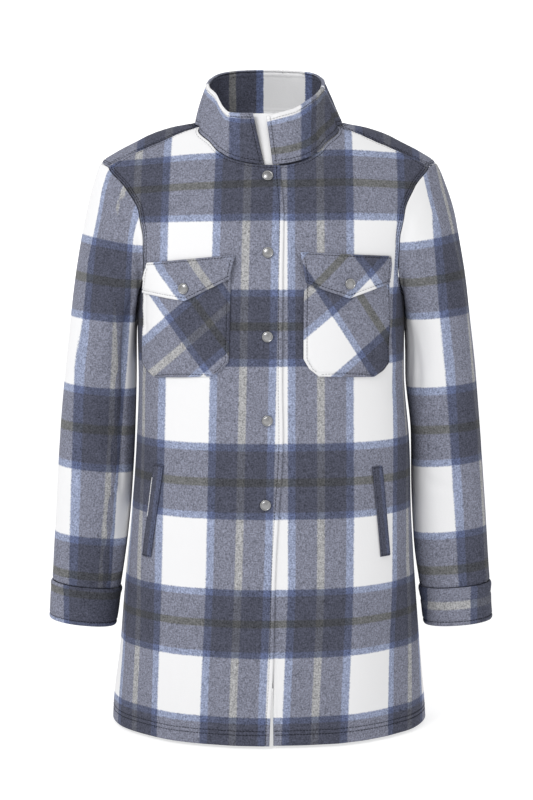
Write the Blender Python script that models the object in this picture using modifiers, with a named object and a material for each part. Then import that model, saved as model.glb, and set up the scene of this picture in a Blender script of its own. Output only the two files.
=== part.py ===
"""Long plaid shirt-jacket, buttoned with snaps and filled out with no wearer inside it.

Metres, +Z up, front towards -Y, +X to the left-hand side of the wearer. The origin lies on the
line of the shoulders, midway between the two neck points. Every panel is an open sheet that
follows one hollow body form, given by level sections, and takes its cloth from a Solidify.

A place on the body form is a turn, in degrees, and a height. The turn is 0 at the side seam of
the wearer's right, 90 at the centre back, 180 at the other side seam and 270 at the centre
front, so -90 is the centre front as well.
"""
from collections import namedtuple
from math import acos, copysign, cos, degrees, exp, pi, radians, sin

import bmesh
import bpy
from mathutils import Vector

MM = 0.001

# Cloth and gaps
BODY_WALL = 2.2 * MM
COLLAR_WALL = 3.0 * MM
CUFF_WALL = 2.8 * MM
POCKET_WALL = 1.8 * MM
FLAP_WALL = 2.0 * MM
WELT_WALL = 1.8 * MM
SEAM_HALF_GAP = 0.35 * MM
SHOULDER_GAP = 0.9 * MM
COLLAR_RISE = 0.8 * MM
COLLAR_INSET = 0.3 * MM
LAID_GAP = 0.85 * MM
POCKET_GAP = 1.5 * MM
FLAP_GAP = 0.8 * MM
SNAP_GAP = 0.5 * MM

# Heights of the garment
HEM_Z = -777 * MM
UNDERARM_Z = -225 * MM
SLEEVE_END_Z = -597 * MM
CUFF_DEPTH = 50 * MM

# How far the two fronts part where one laps over the other
LAP_OUT = 1.2 * MM
LAP_IN = 1.9 * MM
LAP_FULL_X = 32 * MM
LAP_NONE_X = 95 * MM

# Columns and rows of the grids. SHOULDER_COLUMNS end at one shoulder seam, and LOWER_ROWS lie
# between the hem and the underarm.
BACK_COLUMNS = 24
FRONT_COLUMN_COUNT = 12
SHOULDER_COLUMNS = 6
LOWER_ROWS = 12
FRONT_ROW_COUNT = 11
BACK_ROW_COUNT = 13
CUFF_COLUMNS = 24
CUFF_ROWS = (0.0, 0.33, 0.67, 1.0)
COLLAR_ROWS = (0, 0.25, 0.5, 0.75, 1)
UNDERLAP_ROWS = (0, 0.25, 0.5, 0.75, 1)
POCKET_STEPS = (3, 3, 1, 1)
POCKET_COLUMNS = 9
FLAP_ROWS = (0, 0.16, 0.33, 0.66, 1.0)
FLAP_COLUMNS = 10
WELT_STEPS = (8,)
WELT_COLUMNS = 2

# Snaps: the outline of the cap is in shares of its radius, from the middle outwards and down
SNAP_RADIUS = 6.9 * MM
SNAP_SIDES = 14
SNAP_MERGE = 0.01 * MM
Outline = namedtuple("Outline", "out up")
SNAP_OUTLINE = [
    Outline(0, 0.36),
    Outline(0.42, 0.32),
    Outline(0.72, 0.21),
    Outline(0.80, 0.26),
    Outline(0.90, 0.27),
    Outline(1, 0.14),
    Outline(0.96, 0),
    Outline(0, 0),
]

# Level sections of the body form, in millimetres, from the hem up to the back of the neck.
# round is the exponent of the section: 2 is an ellipse and more is squarer. shift moves the
# section towards +X.
Section = namedtuple("Section", "z half_width front back round shift")
BODY = [
    Section(-790, 207, 146, 143, 2.0, 1.0),
    Section(-755, 205, 144, 141, 2.0, 1.0),
    Section(-681, 197, 141, 138, 2.1, 2.0),
    Section(-583, 189, 137, 134, 2.2, 1.7),
    Section(-500, 182, 134, 131, 2.3, 3.5),
    Section(-407, 177, 131, 128, 2.4, 6.0),
    Section(-318, 171.5, 129, 125, 2.45, 3.6),
    Section(-225, 172.5, 127, 122, 2.35, 3.0),
    Section(-190, 183, 125, 121, 2.2, 3.0),
    Section(-150, 204, 119, 118, 2.05, 3.5),
    Section(-115, 219, 110, 113, 1.98, 4.0),
    Section(-85, 224, 98, 107, 1.95, 2.0),
    Section(-62, 219, 86, 100, 1.92, 0.0),
    Section(-51, 215, 79, 95, 1.9, 0.0),
    Section(-37, 195, 70, 89, 1.8, 0.0),
    Section(-23, 168, 61, 82, 1.75, 0.0),
    Section(-14, 150, 55, 77, 1.75, 0.0),
    Section(-6, 126, 48, 72, 1.75, 0.0),
    Section(2, 91, 41, 67, 1.85, 0.0),
    Section(12, 86, 36, 65, 1.95, 0.0),
]

# Seams of one side, as half-distance from the middle and height in millimetres. side says
# whether the point lies on the front (-1), on the back (1) or on the outermost line (0).
SeamPoint = namedtuple("SeamPoint", "x z side")
ARMHOLE_FRONT = [
    SeamPoint(172.5, -225, 0),
    SeamPoint(168, -216, -1),
    SeamPoint(163, -198, -1),
    SeamPoint(161, -166, -1),
    SeamPoint(162.5, -136, -1),
    SeamPoint(167, -112, -1),
    SeamPoint(182, -82, -1),
    SeamPoint(204, -56, -1),
]
ARMHOLE_TOP = [
    SeamPoint(204, -56, -1),
    SeamPoint(209.5, -53, -1),
    SeamPoint(214, -50.5, 0),
    SeamPoint(210, -54, 1),
]
ARMHOLE_BACK = [
    SeamPoint(210, -54, 1),
    SeamPoint(196, -74, 1),
    SeamPoint(182, -105, 1),
    SeamPoint(173, -145, 1),
    SeamPoint(169, -190, 1),
    SeamPoint(168.5, -214, 1),
    SeamPoint(172.5, -225, 0),
]
SHOULDER_SEAM = [
    SeamPoint(204, -56, -1),
    SeamPoint(191, -48.5, -1),
    SeamPoint(163, -35.5, -1),
    SeamPoint(125, -19, -1),
    SeamPoint(104, -10.5, -1),
    SeamPoint(86, -5, -1),
]
NECK_FRONT = [
    SeamPoint(86, -5, -1),
    SeamPoint(75, -24, -1),
    SeamPoint(64, -36, -1),
    SeamPoint(44, -47, -1),
    SeamPoint(20, -52.5, -1),
    SeamPoint(0, -54, -1),
]

# The back of the neck, as the turn from the outermost line and the height in millimetres
NeckPoint = namedtuple("NeckPoint", "turn z")
NECK_BACK = [
    NeckPoint(0, 2.2),
    NeckPoint(25, 5.4),
    NeckPoint(50, 9),
    NeckPoint(72, 11.2),
    NeckPoint(90, 11.8),
]

# Front edges in millimetres: how far the upper and the under front reach past the middle
Edge = namedtuple("Edge", "z over under")
FRONT_EDGES = [
    Edge(-790, -0.5, -5.2),
    Edge(-730, 1.8, -4.4),
    Edge(-682, 3.6, -3.0),
    Edge(-617, 5.6, 4.0),
    Edge(-541, 7.0, 14.0),
    Edge(-368, 12.6, 20.0),
    Edge(-200, 14.4, 22.0),
    Edge(-50, 14.8, 22.0),
]

# Top of the collar in millimetres, against the turn of the neck seam below it
Rim = namedtuple("Rim", "turn x y z bulge")
COLLAR_RIM = [
    Rim(-88.3, -19.9, -74.5, 10.8, 0.5),
    Rim(-83, -31, -70.5, 10.9, 1.5),
    Rim(-72.5, -50, -57, 12.5, 1.0),
    Rim(-66, -58.5, -44, 20, -1.0),
    Rim(-58, -67, -27, 36, -1.5),
    Rim(-44, -77.5, -4, 46.5, 0.5),
    Rim(-22, -78.7, 9, 51, 1.5),
    Rim(0, -76, 23, 57, 2.0),
    Rim(30, -66, 42, 64, 2.5),
    Rim(60, -40, 57, 69, 3.0),
    Rim(90, 0, 62, 70.5, 3.0),
    Rim(120, 42, 56, 68.5, 3.0),
    Rim(150, 64, 37, 63, 2.5),
    Rim(180, 70.5, 18, 55, 2.0),
    Rim(202, 69.5, -2, 48, 1.0),
    Rim(224, 65, -22, 41, -1.0),
    Rim(238, 57, -38, 33, -2.0),
    Rim(246, 48, -50, 26.8, -0.5),
    Rim(254, 33, -61, 17.5, 1.5),
    Rim(263, 11, -69, 11, 2.0),
    Rim(268.4, -3, -70.5, 7, 0.5),
]

# Sleeves in millimetres: how far the inner and outer lines stand from the middle on each side,
# and how far the front and back lines stand from the plane of the side seams, from the cuff up
Tube = namedtuple("Tube", "z inner_right outer_right inner_left outer_left front back")
SLEEVE = [
    Tube(-655, 202, 287.5, 206, 293.5, 37, 39),
    Tube(-603, 194, 283.5, 199, 290.5, 38, 43),
    Tube(-542, 185.2, 280, 190.3, 286, 40, 52),
    Tube(-474, 178.2, 276, 187, 281.5, 42, 63),
    Tube(-400, 173.7, 271, 185.5, 276, 46, 73),
    Tube(-318, 171.2, 263, 178, 268.5, 52, 82),
    Tube(-248, 172.2, 255, 178.3, 260, 60, 85),
    Tube(-190, 173, 248, 179, 253, 66, 83),
    Tube(-145, 174, 241, 180, 246, 67, 78),
    Tube(-117, 175, 236, 180, 241, 65, 74),
    Tube(-80, 176, 227, 181, 229.5, 60, 66),
    Tube(-50, 176, 216, 181, 216, 52, 60),
]
SLEEVE_ROUND = 2.15
CUFF_SLOPE_RIGHT = 0.125
CUFF_SLOPE_LEFT = 0.095
CUFF_HALF_WIDTH = 43 * MM
CUFF_PROUD = 1.6 * MM

# Rows of a sleeve as shares of its length, the flat band at its head, and the share of its
# length by which the armhole's outline has turned into the tube's
SLEEVE_ROWS = [0.035, 0.075, 0.12, 0.17, 0.23, 0.3, 0.37, 0.45, 0.54, 0.63, 0.72, 0.81, 0.9, 1.0]
SLEEVE_HEAD_BAND = 4.0 * MM
SLEEVE_BLEND_END = 0.34

# Strip behind the two ends of the collar in millimetres, from its foot to its top
Strip = namedtuple("Strip", "left right y z")
UNDERLAP_LOW = Strip(-13, 13, -75.2, -47)
UNDERLAP_HIGH = Strip(-26, 12, -66.2, 10)
UNDERLAP_RADIUS = 75

# Soft folds of the body: the place of the middle, its reach, and how far it stands out or in
Fold = namedtuple("Fold", "turn z wide tall out")
BODY_FOLDS = [
    Fold(-38, -700, 9, 110, -2.6),
    Fold(-58, -730, 8, 90, 1.8),
    Fold(-118, -720, 8, 100, 1.6),
    Fold(-140, -700, 9, 110, -2.6),
    Fold(35, -700, 9, 120, -3.0),
    Fold(62, -690, 9, 130, 2.4),
    Fold(90, -720, 10, 110, -2.6),
    Fold(118, -690, 9, 130, 2.4),
    Fold(146, -700, 9, 120, -3.0),
    Fold(48, -260, 9, 70, -3.0),
    Fold(132, -260, 9, 70, -3.0),
]
# Soft folds of a sleeve: turn runs from the inner line (0) over the front (90) to the outer
# line (180)
SLEEVE_FOLDS = [
    Fold(52, -190, 17, 85, -9.0),
    Fold(84, -210, 18, 90, 3.0),
    Fold(68, -395, 20, 30, -2.5),
    Fold(120, -425, 26, 24, -2.0),
    Fold(95, -560, 22, 26, -2.0),
    Fold(300, -200, 18, 90, -8.0),
    Fold(262, -220, 20, 90, 2.5),
    Fold(268, -400, 26, 26, -2.5),
    Fold(250, -550, 24, 28, -2.0),
]

# Chest pockets in millimetres, a row for each level: left end and right end of the row
Row = namedtuple("Row", "x0 z0 x1 z1")
POCKET_RIGHT = [
    Row(-156, -209, -46, -182),
    Row(-157.5, -250, -47, -240),
    Row(-159.5, -301, -49, -295.5),
    Row(-153, -311.5, -57.5, -305.5),
    Row(-142.5, -318.5, -70.5, -313.5),
]
POCKET_LEFT = [
    Row(44, -180, 150, -193),
    Row(43, -240, 151, -244),
    Row(43, -292, 150, -300),
    Row(50, -304, 142.5, -309.5),
    Row(62, -313.5, 131, -316.5),
]
# Pocket flaps in millimetres, across from end to end: the top edge, then the bottom edge
FlapStep = namedtuple("FlapStep", "x_top z_top x_low z_low")
FLAP_RIGHT = [
    FlapStep(-151.5, -175, -155, -213),
    FlapStep(-122, -172, -124, -218.5),
    FlapStep(-99, -169.6, -102, -221.5),
    FlapStep(-72, -167, -73, -206.5),
    FlapStep(-40.5, -164, -47, -193.5),
]
FLAP_LEFT = [
    FlapStep(38.9, -160, 45, -198),
    FlapStep(68, -161.8, 71, -208.5),
    FlapStep(97, -163.5, 98.5, -218),
    FlapStep(124, -165, 124, -209),
    FlapStep(152.5, -166.5, 148.5, -200.5),
]
FLAP_CURL = 2.5 * MM
FLAP_CURL_START = 0.75
FLAP_SEAT_END = 0.33
WELT_RIGHT = [Row(-144.3, -428.3, -131.2, -428.3), Row(-159.6, -547.4, -148.3, -547.4)]
WELT_LEFT = [Row(129.1, -428.9, 142.3, -428.9), Row(141.1, -544.9, 153.9, -544.9)]

FRONT_SNAPS = [(-1.1, -68), (-0.8, -161), (-1.4, -264), (-1.6, -368), (-3.8, -473)]
POCKET_SNAPS = [(-102.8, -206), (98.2, -200)]

# Material: colour, roughness, metallic
CLOTH_DARK = ((0.075, 0.082, 0.118, 1.0), 0.92, 0.0)
CLOTH_LIGHT = ((0.80, 0.80, 0.81, 1.0), 0.92, 0.0)
CLOTH_GREY = ((0.24, 0.25, 0.31, 1.0), 0.92, 0.0)
CLOTH_BLUE = ((0.29, 0.33, 0.46, 1.0), 0.92, 0.0)
SNAP_METAL = ((0.55, 0.55, 0.56, 1.0), 0.32, 1.0)


def hermite(places, values, at):
    """Read a smooth curve through the values at their places, which rise."""
    last = len(places) - 1
    if at <= places[0]:
        return values[0]
    if at >= places[last]:
        return values[last]
    k = 0
    while places[k + 1] < at:
        k += 1
    slopes = [(values[i + 1] - values[i]) / (places[i + 1] - places[i]) for i in range(last)]

    def tangent(i):
        """Slope at one place: the harmonic mean of its neighbours, so nothing overshoots."""
        if i in (0, last):
            return slopes[0] if i == 0 else slopes[-1]
        before = slopes[i - 1]
        after = slopes[i]
        if before * after <= 0:
            return 0.0
        return 2 * before * after / (before + after)

    span = places[k + 1] - places[k]
    t = (at - places[k]) / span
    rise = t * t * (3 - 2 * t)
    lead = t * (1 - t) ** 2
    trail = t * t * (t - 1)
    level = values[k] * (1 - rise) + values[k + 1] * rise
    return level + span * (tangent(k) * lead + tangent(k + 1) * trail)


def read_table(table, column, at, key="z"):
    """Value of a column of a table, in metres where the table is in millimetres."""
    places = [getattr(row, key) for row in table]
    values = [getattr(row, column) for row in table]
    return hermite(places, values, at)


def smooth_step(low, high, value):
    """0 below low, 1 above high, and a smooth rise between."""
    t = min(1.0, max(0.0, (value - low) / (high - low)))
    return t * t * (3 - 2 * t)


def signed_power(value, power):
    return copysign(abs(value) ** power, value)


def between(a, b, share):
    return a + (b - a) * share


def fold_height(folds, turn, z_mm, period=360.0):
    """Sum of the soft folds at a place, in metres."""
    total = 0.0
    for fold in folds:
        across = (turn - fold.turn + period / 2) % period - period / 2
        along = z_mm - fold.z
        total += fold.out * exp(-(across / fold.wide) ** 2 - (along / fold.tall) ** 2)
    return total * MM


def body_form(turn, z):
    """Point of the bare body form at a turn in degrees and a height in metres."""
    z_mm = z / MM
    power = 2 / read_table(BODY, "round", z_mm)
    half_width = read_table(BODY, "half_width", z_mm)
    sine = sin(radians(turn))
    depth = read_table(BODY, "front" if sine < 0 else "back", z_mm)
    x = -half_width * signed_power(cos(radians(turn)), power)
    y = depth * signed_power(sine, power)
    return Vector((x + read_table(BODY, "shift", z_mm), y, z_mm)) * MM


def form_normal(turn, z):
    """Outward direction of the body form."""
    step_turn = 0.5
    step_z = 1.0 * MM
    around = body_form(turn + step_turn, z) - body_form(turn - step_turn, z)
    up = body_form(turn, z + step_z) - body_form(turn, z - step_z)
    return up.cross(around).normalized()


def body_point(turn, z, out=0.0):
    """Point of the cloth: the body form with its soft folds, moved out by a distance."""
    lift = fold_height(BODY_FOLDS, turn, z / MM)
    return body_form(turn, z) + form_normal(turn, z) * (lift + out)


def turn_of(x_mm, z_mm, side):
    """Turn of a seam point given by its half-distance from the middle and its height."""
    if side == 0:
        return 0.0
    half_width = read_table(BODY, "half_width", z_mm)
    power = read_table(BODY, "round", z_mm) / 2
    turn = degrees(acos(max(-1.0, min(1.0, signed_power(x_mm / half_width, power)))))
    return side * turn


def turn_at_x(x_mm, z_mm):
    """Turn of the front's point at a sideways place x and a height, in millimetres."""
    half_width = read_table(BODY, "half_width", z_mm)
    power = read_table(BODY, "round", z_mm) / 2
    ratio = (x_mm - read_table(BODY, "shift", z_mm)) / half_width
    return -degrees(acos(max(-1.0, min(1.0, -signed_power(ratio, power)))))


def seam_line(points):
    """Places (turn, z) of a seam, and how far along it each one lies, from 0 to 1."""
    places = [(turn_of(p.x, p.z, p.side), p.z * MM) for p in points]
    return measured(places)


def measured(places):
    """Add to a list of places the share of the length at each one."""
    spots = [body_form(*place) for place in places]
    run = [0.0]
    for a, b in zip(spots, spots[1:]):
        run.append(run[-1] + (b - a).length)
    return [r / run[-1] for r in run], places


def along(line, share):
    """Place (turn, z) at a share of a seam's length."""
    shares, places = line
    turn = hermite(shares, [p[0] for p in places], share)
    z = hermite(shares, [p[1] for p in places], share)
    return turn, z


FRONT_ARM_LINE = seam_line(ARMHOLE_FRONT)
BACK_ARM_LINE = seam_line(ARMHOLE_BACK[::-1] + ARMHOLE_TOP[::-1][1:])
SHOULDER_LINE = seam_line(SHOULDER_SEAM)
NECK_FRONT_LINE = seam_line(NECK_FRONT)
NECK_BACK_LINE = measured([NECK_FRONT_LINE[1][0]] + [(p.turn, p.z * MM) for p in NECK_BACK])


def spread(count, crowd_start=0.0, crowd_end=0.0):
    """Shares from 0 to 1, closer together towards an end where it is asked for."""
    shares = []
    for k in range(count + 1):
        t = k / count
        eased = t - crowd_start * sin(pi * t) / pi * (1 - t) + crowd_end * sin(pi * t) / pi * t
        shares.append(eased)
    return shares


# Shares of the height at which the fronts and the back meet the armhole
FRONT_UPPER_ROWS = spread(FRONT_ROW_COUNT, crowd_end=0.4)
BACK_UPPER_ROWS = spread(BACK_ROW_COUNT, crowd_end=0.7)
FRONT_COLUMNS = spread(FRONT_COLUMN_COUNT, crowd_start=0.3)
FRONT_NECK_POINT = FRONT_COLUMNS[SHOULDER_COLUMNS]
SHOULDER_SHARES = [u / FRONT_NECK_POINT for u in FRONT_COLUMNS[:SHOULDER_COLUMNS + 1]]
NECK_FRONT_SHARES = [(u - FRONT_NECK_POINT) / (1 - FRONT_NECK_POINT)
                     for u in FRONT_COLUMNS[SHOULDER_COLUMNS:]]
NECK_BACK_SHARES = spread(BACK_COLUMNS // 2 - SHOULDER_COLUMNS)


def coons(bottom, top, left, right, u, v):
    """Place inside four edges, each given as a function of its share.

    The turns of the top edge are felt only close to it, so the columns never cross.
    """
    ends = bottom(u), top(u), left(v), right(v)
    corners = bottom(0), bottom(1), top(0), top(1)
    place = []
    for i, felt in ((0, v ** 3), (1, v ** 2.4)):
        low, high, start, end = (edge[i] for edge in ends)
        low_start, low_end, high_start, high_end = (corner[i] for corner in corners)
        low -= low_start + u * (low_end - low_start)
        high -= high_start + u * (high_end - high_start)
        place.append((1 - u) * start + u * end + (1 - felt) * low + felt * high)
    return tuple(place)


def new_collection(name):
    collection = bpy.data.collections.new(name)
    bpy.context.scene.collection.children.link(collection)
    return collection


def new_material(name, look):
    colour, roughness, metallic = look
    material = bpy.data.materials.new(name)
    material.use_nodes = True
    shader = material.node_tree.nodes["Principled BSDF"]
    shader.inputs["Base Color"].default_value = colour
    shader.inputs["Roughness"].default_value = roughness
    shader.inputs["Metallic"].default_value = metallic
    return material


def sheet(name, rows, wall, look, collection, ring=False, flip=False):
    """Object of a grid of points, thickened inwards by its wall."""
    mesh = bpy.data.meshes.new(name)
    work = bmesh.new()
    grid = [[work.verts.new(point) for point in row] for row in rows]
    columns = len(rows[0])
    for low, high in zip(grid, grid[1:]):
        for k in range(columns if ring else columns - 1):
            after = (k + 1) % columns
            corners = [low[k], low[after], high[after], high[k]]
            work.faces.new(corners[::-1] if flip else corners)
    work.to_mesh(mesh)
    work.free()
    mesh.shade_smooth()
    piece = bpy.data.objects.new(name, mesh)
    piece.data.materials.append(new_material(name, look))
    collection.objects.link(piece)
    solid = piece.modifiers.new("cloth", "SOLIDIFY")
    solid.thickness = wall
    solid.offset = -1
    solid.use_even_offset = False
    solid.use_quality_normals = True
    return piece


# Fronts
def lap_shift(x, out):
    """How far a front is moved out or in close to the middle, where the two lap."""
    return out * (1 - smooth_step(LAP_FULL_X, LAP_NONE_X, abs(x)))


def front_places(reach_column):
    """Grid of places of the front on the wearer's right, from its hem up."""
    def edge_angle(z):
        reach = read_table(FRONT_EDGES, reach_column, z / MM)
        half_width = read_table(BODY, "half_width", z / MM)
        power = read_table(BODY, "round", z / MM) / 2
        return -degrees(acos(-signed_power(reach / half_width, power)))

    columns = FRONT_COLUMNS
    rows = []
    for share in spread(LOWER_ROWS):
        z = HEM_Z + (UNDERARM_Z - HEM_Z) * share
        rows.append([(u * edge_angle(z), z) for u in columns])

    corner = FRONT_NECK_POINT

    def top(u):
        if u < corner:
            return along(SHOULDER_LINE, u / corner)
        neck_share = (u - corner) / (1 - corner)
        turn, z = along(NECK_FRONT_LINE, neck_share)
        return (edge_angle(z) if neck_share > 0.99 else turn), z

    top_z = top(1)[1]

    def bottom(u):
        return u * edge_angle(UNDERARM_Z), UNDERARM_Z

    def left(v):
        return along(FRONT_ARM_LINE, v)

    def right(v):
        z = UNDERARM_Z + (top_z - UNDERARM_Z) * v
        return edge_angle(z), z

    for v in FRONT_UPPER_ROWS[1:]:
        rows.append([coons(bottom, top, left, right, u, v) for u in columns])
    return rows


def mirrored_turn(turn):
    return 180 - turn


def drawn_back(line, inner, gap=SEAM_HALF_GAP):
    """Draw a line of points back from a seam, square to it, by a gap."""
    last = len(line) - 1
    moved = []
    for k, point in enumerate(line):
        edge = (line[min(k + 1, last)] - line[max(k - 1, 0)]).normalized()
        inwards = inner[k] - point
        inwards -= edge * inwards.dot(edge)
        moved.append(point + inwards.normalized() * gap)
    return moved


def drawn_in(points, first_column, last_column, top_gap):
    """Draw the chosen edges of a grid of points back from their seams."""
    rows = [list(row) for row in points]
    rows[-1] = drawn_back(rows[-1], rows[-2], top_gap)
    if first_column:
        line = drawn_back([row[0] for row in rows], [row[1] for row in rows])
        rows = [[spot] + row[1:] for spot, row in zip(line, rows)]
    if last_column:
        line = drawn_back([row[-1] for row in rows], [row[-2] for row in rows])
        rows = [row[:-1] + [spot] for spot, row in zip(line, rows)]
    return rows


def make_front(name, reach_column, on_left, lap, collection):
    """One front, from its side seam and armhole to its edge."""
    points = []
    for row in front_places(reach_column):
        line = []
        for turn, z in row:
            own = mirrored_turn(turn) if on_left else turn
            spot = body_point(own, z)
            line.append(body_point(own, z, lap_shift(spot.x, lap)))
        points.append(line)
    points = drawn_in(points, True, False, SHOULDER_GAP)
    return sheet(name, points, BODY_WALL, CLOTH_GREY, collection, flip=on_left)


# Back
def back_places():
    """Grid of places of the back, from side to side and from its hem up over the shoulders."""
    corner = SHOULDER_COLUMNS / BACK_COLUMNS
    half = [corner * share for share in SHOULDER_SHARES]
    half += [corner + (0.5 - corner) * share for share in NECK_BACK_SHARES[1:]]
    columns = half + [1 - u for u in half[:-1][::-1]]
    rows = []
    for share in spread(LOWER_ROWS):
        z = HEM_Z + (UNDERARM_Z - HEM_Z) * share
        rows.append([(180 * u, z) for u in columns])

    def mirrored(place):
        return 180 - place[0], place[1]

    def top(u):
        own = min(u, 1 - u)
        if own < corner:
            place = along(SHOULDER_LINE, own / corner)
        else:
            place = along(NECK_BACK_LINE, (own - corner) / (0.5 - corner))
        return place if u <= 0.5 else mirrored(place)

    def bottom(u):
        return 180 * u, UNDERARM_Z

    def left(v):
        return along(BACK_ARM_LINE, v)

    def right(v):
        return mirrored(left(v))

    for v in BACK_UPPER_ROWS[1:]:
        rows.append([coons(bottom, top, left, right, u, v) for u in columns])
    return rows


def make_back(collection):
    points = [[body_point(turn, z) for turn, z in row] for row in back_places()]
    points = drawn_in(points, True, True, SEAM_HALF_GAP)
    return sheet("back", points, BODY_WALL, CLOTH_GREY, collection, flip=True)


# Sleeves
def armhole_loop():
    """Share, point and way out of the hole at each point of the armhole of the wearer's right.

    The loop starts under the arm, climbs the front to the shoulder seam and comes down the back,
    through the same points as the edges of the panels.
    """
    places = [along(FRONT_ARM_LINE, v) for v in FRONT_UPPER_ROWS]
    places += [along(BACK_ARM_LINE, v) for v in BACK_UPPER_ROWS[::-1][1:]]
    shares, _ = measured(places)
    points = [body_point(*place) for place in places[:-1]]
    count = len(points)
    middle = sum(points, Vector()) / count
    loop = []
    for k, point in enumerate(points):
        edge = points[(k + 1) % count] - points[k - 1]
        out = form_normal(*places[k]).cross(edge).normalized()
        if out.dot(middle - point) < 0:
            out = -out
        loop.append((shares[k], point, out))
    return loop


def tube_point(angle, z, on_left, proud=0.0):
    """Point of a sleeve's level section: 0 is the inner line, 90 the front, 180 the outer."""
    z_mm = z / MM
    hand = "left" if on_left else "right"
    inner = read_table(SLEEVE, "inner_" + hand, z_mm)
    outer = read_table(SLEEVE, "outer_" + hand, z_mm)
    lift = fold_height(SLEEVE_FOLDS, angle % 360, z_mm) / MM + proud / MM
    half_width = (outer - inner) / 2 + lift
    sine = sin(radians(angle))
    depth = read_table(SLEEVE, "front" if sine > 0 else "back", z_mm) + lift
    power = 2 / SLEEVE_ROUND
    x = (outer + inner) / 2 - half_width * signed_power(cos(radians(angle)), power)
    y = -depth * signed_power(sine, power)
    return Vector((x if on_left else -x, y, z_mm)) * MM


def cuff_line_z(angle, on_left, drop):
    """Height of a level line round the cuff, which is lower on the side of the body."""
    slope = CUFF_SLOPE_LEFT if on_left else CUFF_SLOPE_RIGHT
    return SLEEVE_END_Z - drop - slope * CUFF_HALF_WIDTH * cos(radians(angle))


def make_sleeve(name, on_left, collection):
    """Sleeve from its armhole to the seam of its cuff."""
    loop = armhole_loop()
    rows = [[], []]
    rows += [[] for _ in SLEEVE_ROWS]
    for share, point, out in loop:
        angle = 360 * share
        if on_left:
            point = Vector((-point.x, point.y, point.z))
            out = Vector((-out.x, out.y, out.z))
            shift = 2 * read_table(BODY, "shift", point.z / MM) * MM
            point.x += shift
        start = point + out * SEAM_HALF_GAP * 2
        end_z = cuff_line_z(angle, on_left, 0.0) + SEAM_HALF_GAP
        tube_start = tube_point(angle, start.z, on_left)
        offset = start - tube_start
        offset.z = 0
        under = max(0.0, cos(radians(angle))) ** 2

        def at(down):
            z = start.z + (end_z - start.z) * down
            fade = max(0.0, 1 - down / SLEEVE_BLEND_END) ** 2
            spot = tube_point(angle, z, on_left)
            return spot + offset * fade

        first = at(SLEEVE_ROWS[0])
        outward = (first - start).normalized()
        lead = (out * (1 - under) + outward * under).normalized()
        rows[0].append(start)
        rows[1].append(start + lead * SLEEVE_HEAD_BAND)
        for r, down in enumerate(SLEEVE_ROWS):
            rows[r + 2].append(at(down))
    return sheet(name, rows, BODY_WALL, CLOTH_BLUE, collection, ring=True, flip=on_left)


def make_cuff(name, on_left, collection):
    """Band of a cuff, round the same line as the end of its sleeve."""
    rows = []
    for share in CUFF_ROWS:
        row = []
        for k in range(CUFF_COLUMNS):
            angle = 360 * k / CUFF_COLUMNS
            z = cuff_line_z(angle, on_left, CUFF_DEPTH * share)
            row.append(tube_point(angle, z, on_left, CUFF_PROUD) - Vector((0, 0, SEAM_HALF_GAP)))
        rows.append(row)
    return sheet(name, rows, CUFF_WALL, CLOTH_DARK, collection, ring=True, flip=on_left)


# Collar
def neck_edge():
    """Turns and points round the neck, through the points at which the panels end."""
    places = [along(NECK_FRONT_LINE, share) for share in NECK_FRONT_SHARES[::-1]]
    places += [along(NECK_BACK_LINE, share) for share in NECK_BACK_SHARES[1:]]
    places += [(180 - turn, z) for turn, z in places[:-1][::-1]]
    return [(turn, body_form(turn, z)) for turn, z in places]


NECK_EDGE = neck_edge()


def neck_point(turn):
    """Point of the neck seam at a turn, on the straight line between two points of the edge."""
    k = 0
    while k < len(NECK_EDGE) - 2 and NECK_EDGE[k + 1][0] < turn:
        k += 1
    (turn_a, a), (turn_b, b) = NECK_EDGE[k], NECK_EDGE[k + 1]
    return a.lerp(b, (turn - turn_a) / (turn_b - turn_a))


def collar_point(turn, share):
    """Point of the collar above the neck seam: share 0 is the seam and 1 the top edge."""
    base = neck_point(turn)
    top = Vector([read_table(COLLAR_RIM, axis, turn, key="turn") for axis in "xyz"]) * MM
    way_out = Vector((base.x + top.x, base.y + top.y, 0)).normalized()
    bulge = read_table(COLLAR_RIM, "bulge", turn, key="turn") * MM * sin(pi * share)
    lift = Vector((0, 0, COLLAR_RISE)) - way_out * COLLAR_INSET
    return base.lerp(top, share) + lift * (1 - share) + way_out * bulge


def make_collar(collection):
    first, last = COLLAR_RIM[0].turn, COLLAR_RIM[-1].turn
    inner = [turn for turn, _ in NECK_EDGE if first + 2 < turn < last - 2]
    marks = [first] + inner + [last]
    turns = [a + (b - a) * t for a, b in zip(marks, marks[1:]) for t in (0, 0.5)] + [last]
    rows = [[collar_point(turn, share) for turn in turns] for share in COLLAR_ROWS]
    return sheet("collar", rows, COLLAR_WALL, CLOTH_BLUE, collection, flip=True)


def make_underlap(collection):
    """Narrow strip behind the two ends of the collar."""
    rows = []
    for v in UNDERLAP_ROWS:
        left, right, y, z = (between(low, high, v) for low, high in zip(UNDERLAP_LOW, UNDERLAP_HIGH))
        row = []
        for u in UNDERLAP_ROWS:
            x = between(left, right, u)
            row.append(Vector((x, y + x * x / (2 * UNDERLAP_RADIUS), z)) * MM)
        rows.append(row)
    return sheet("collar_underlap", rows, WELT_WALL, CLOTH_LIGHT, collection)


# Pieces that lie on the fronts
def front_lap(on_left):
    return -LAP_IN if on_left else LAP_OUT


def laid_point(x_mm, z_mm, out, on_left):
    """Point above a front's cloth, at a sideways place and a height in millimetres."""
    turn = turn_at_x(x_mm, z_mm)
    lift = lap_shift(x_mm * MM, front_lap(on_left))
    return body_point(turn, z_mm * MM, out + lift)


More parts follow.
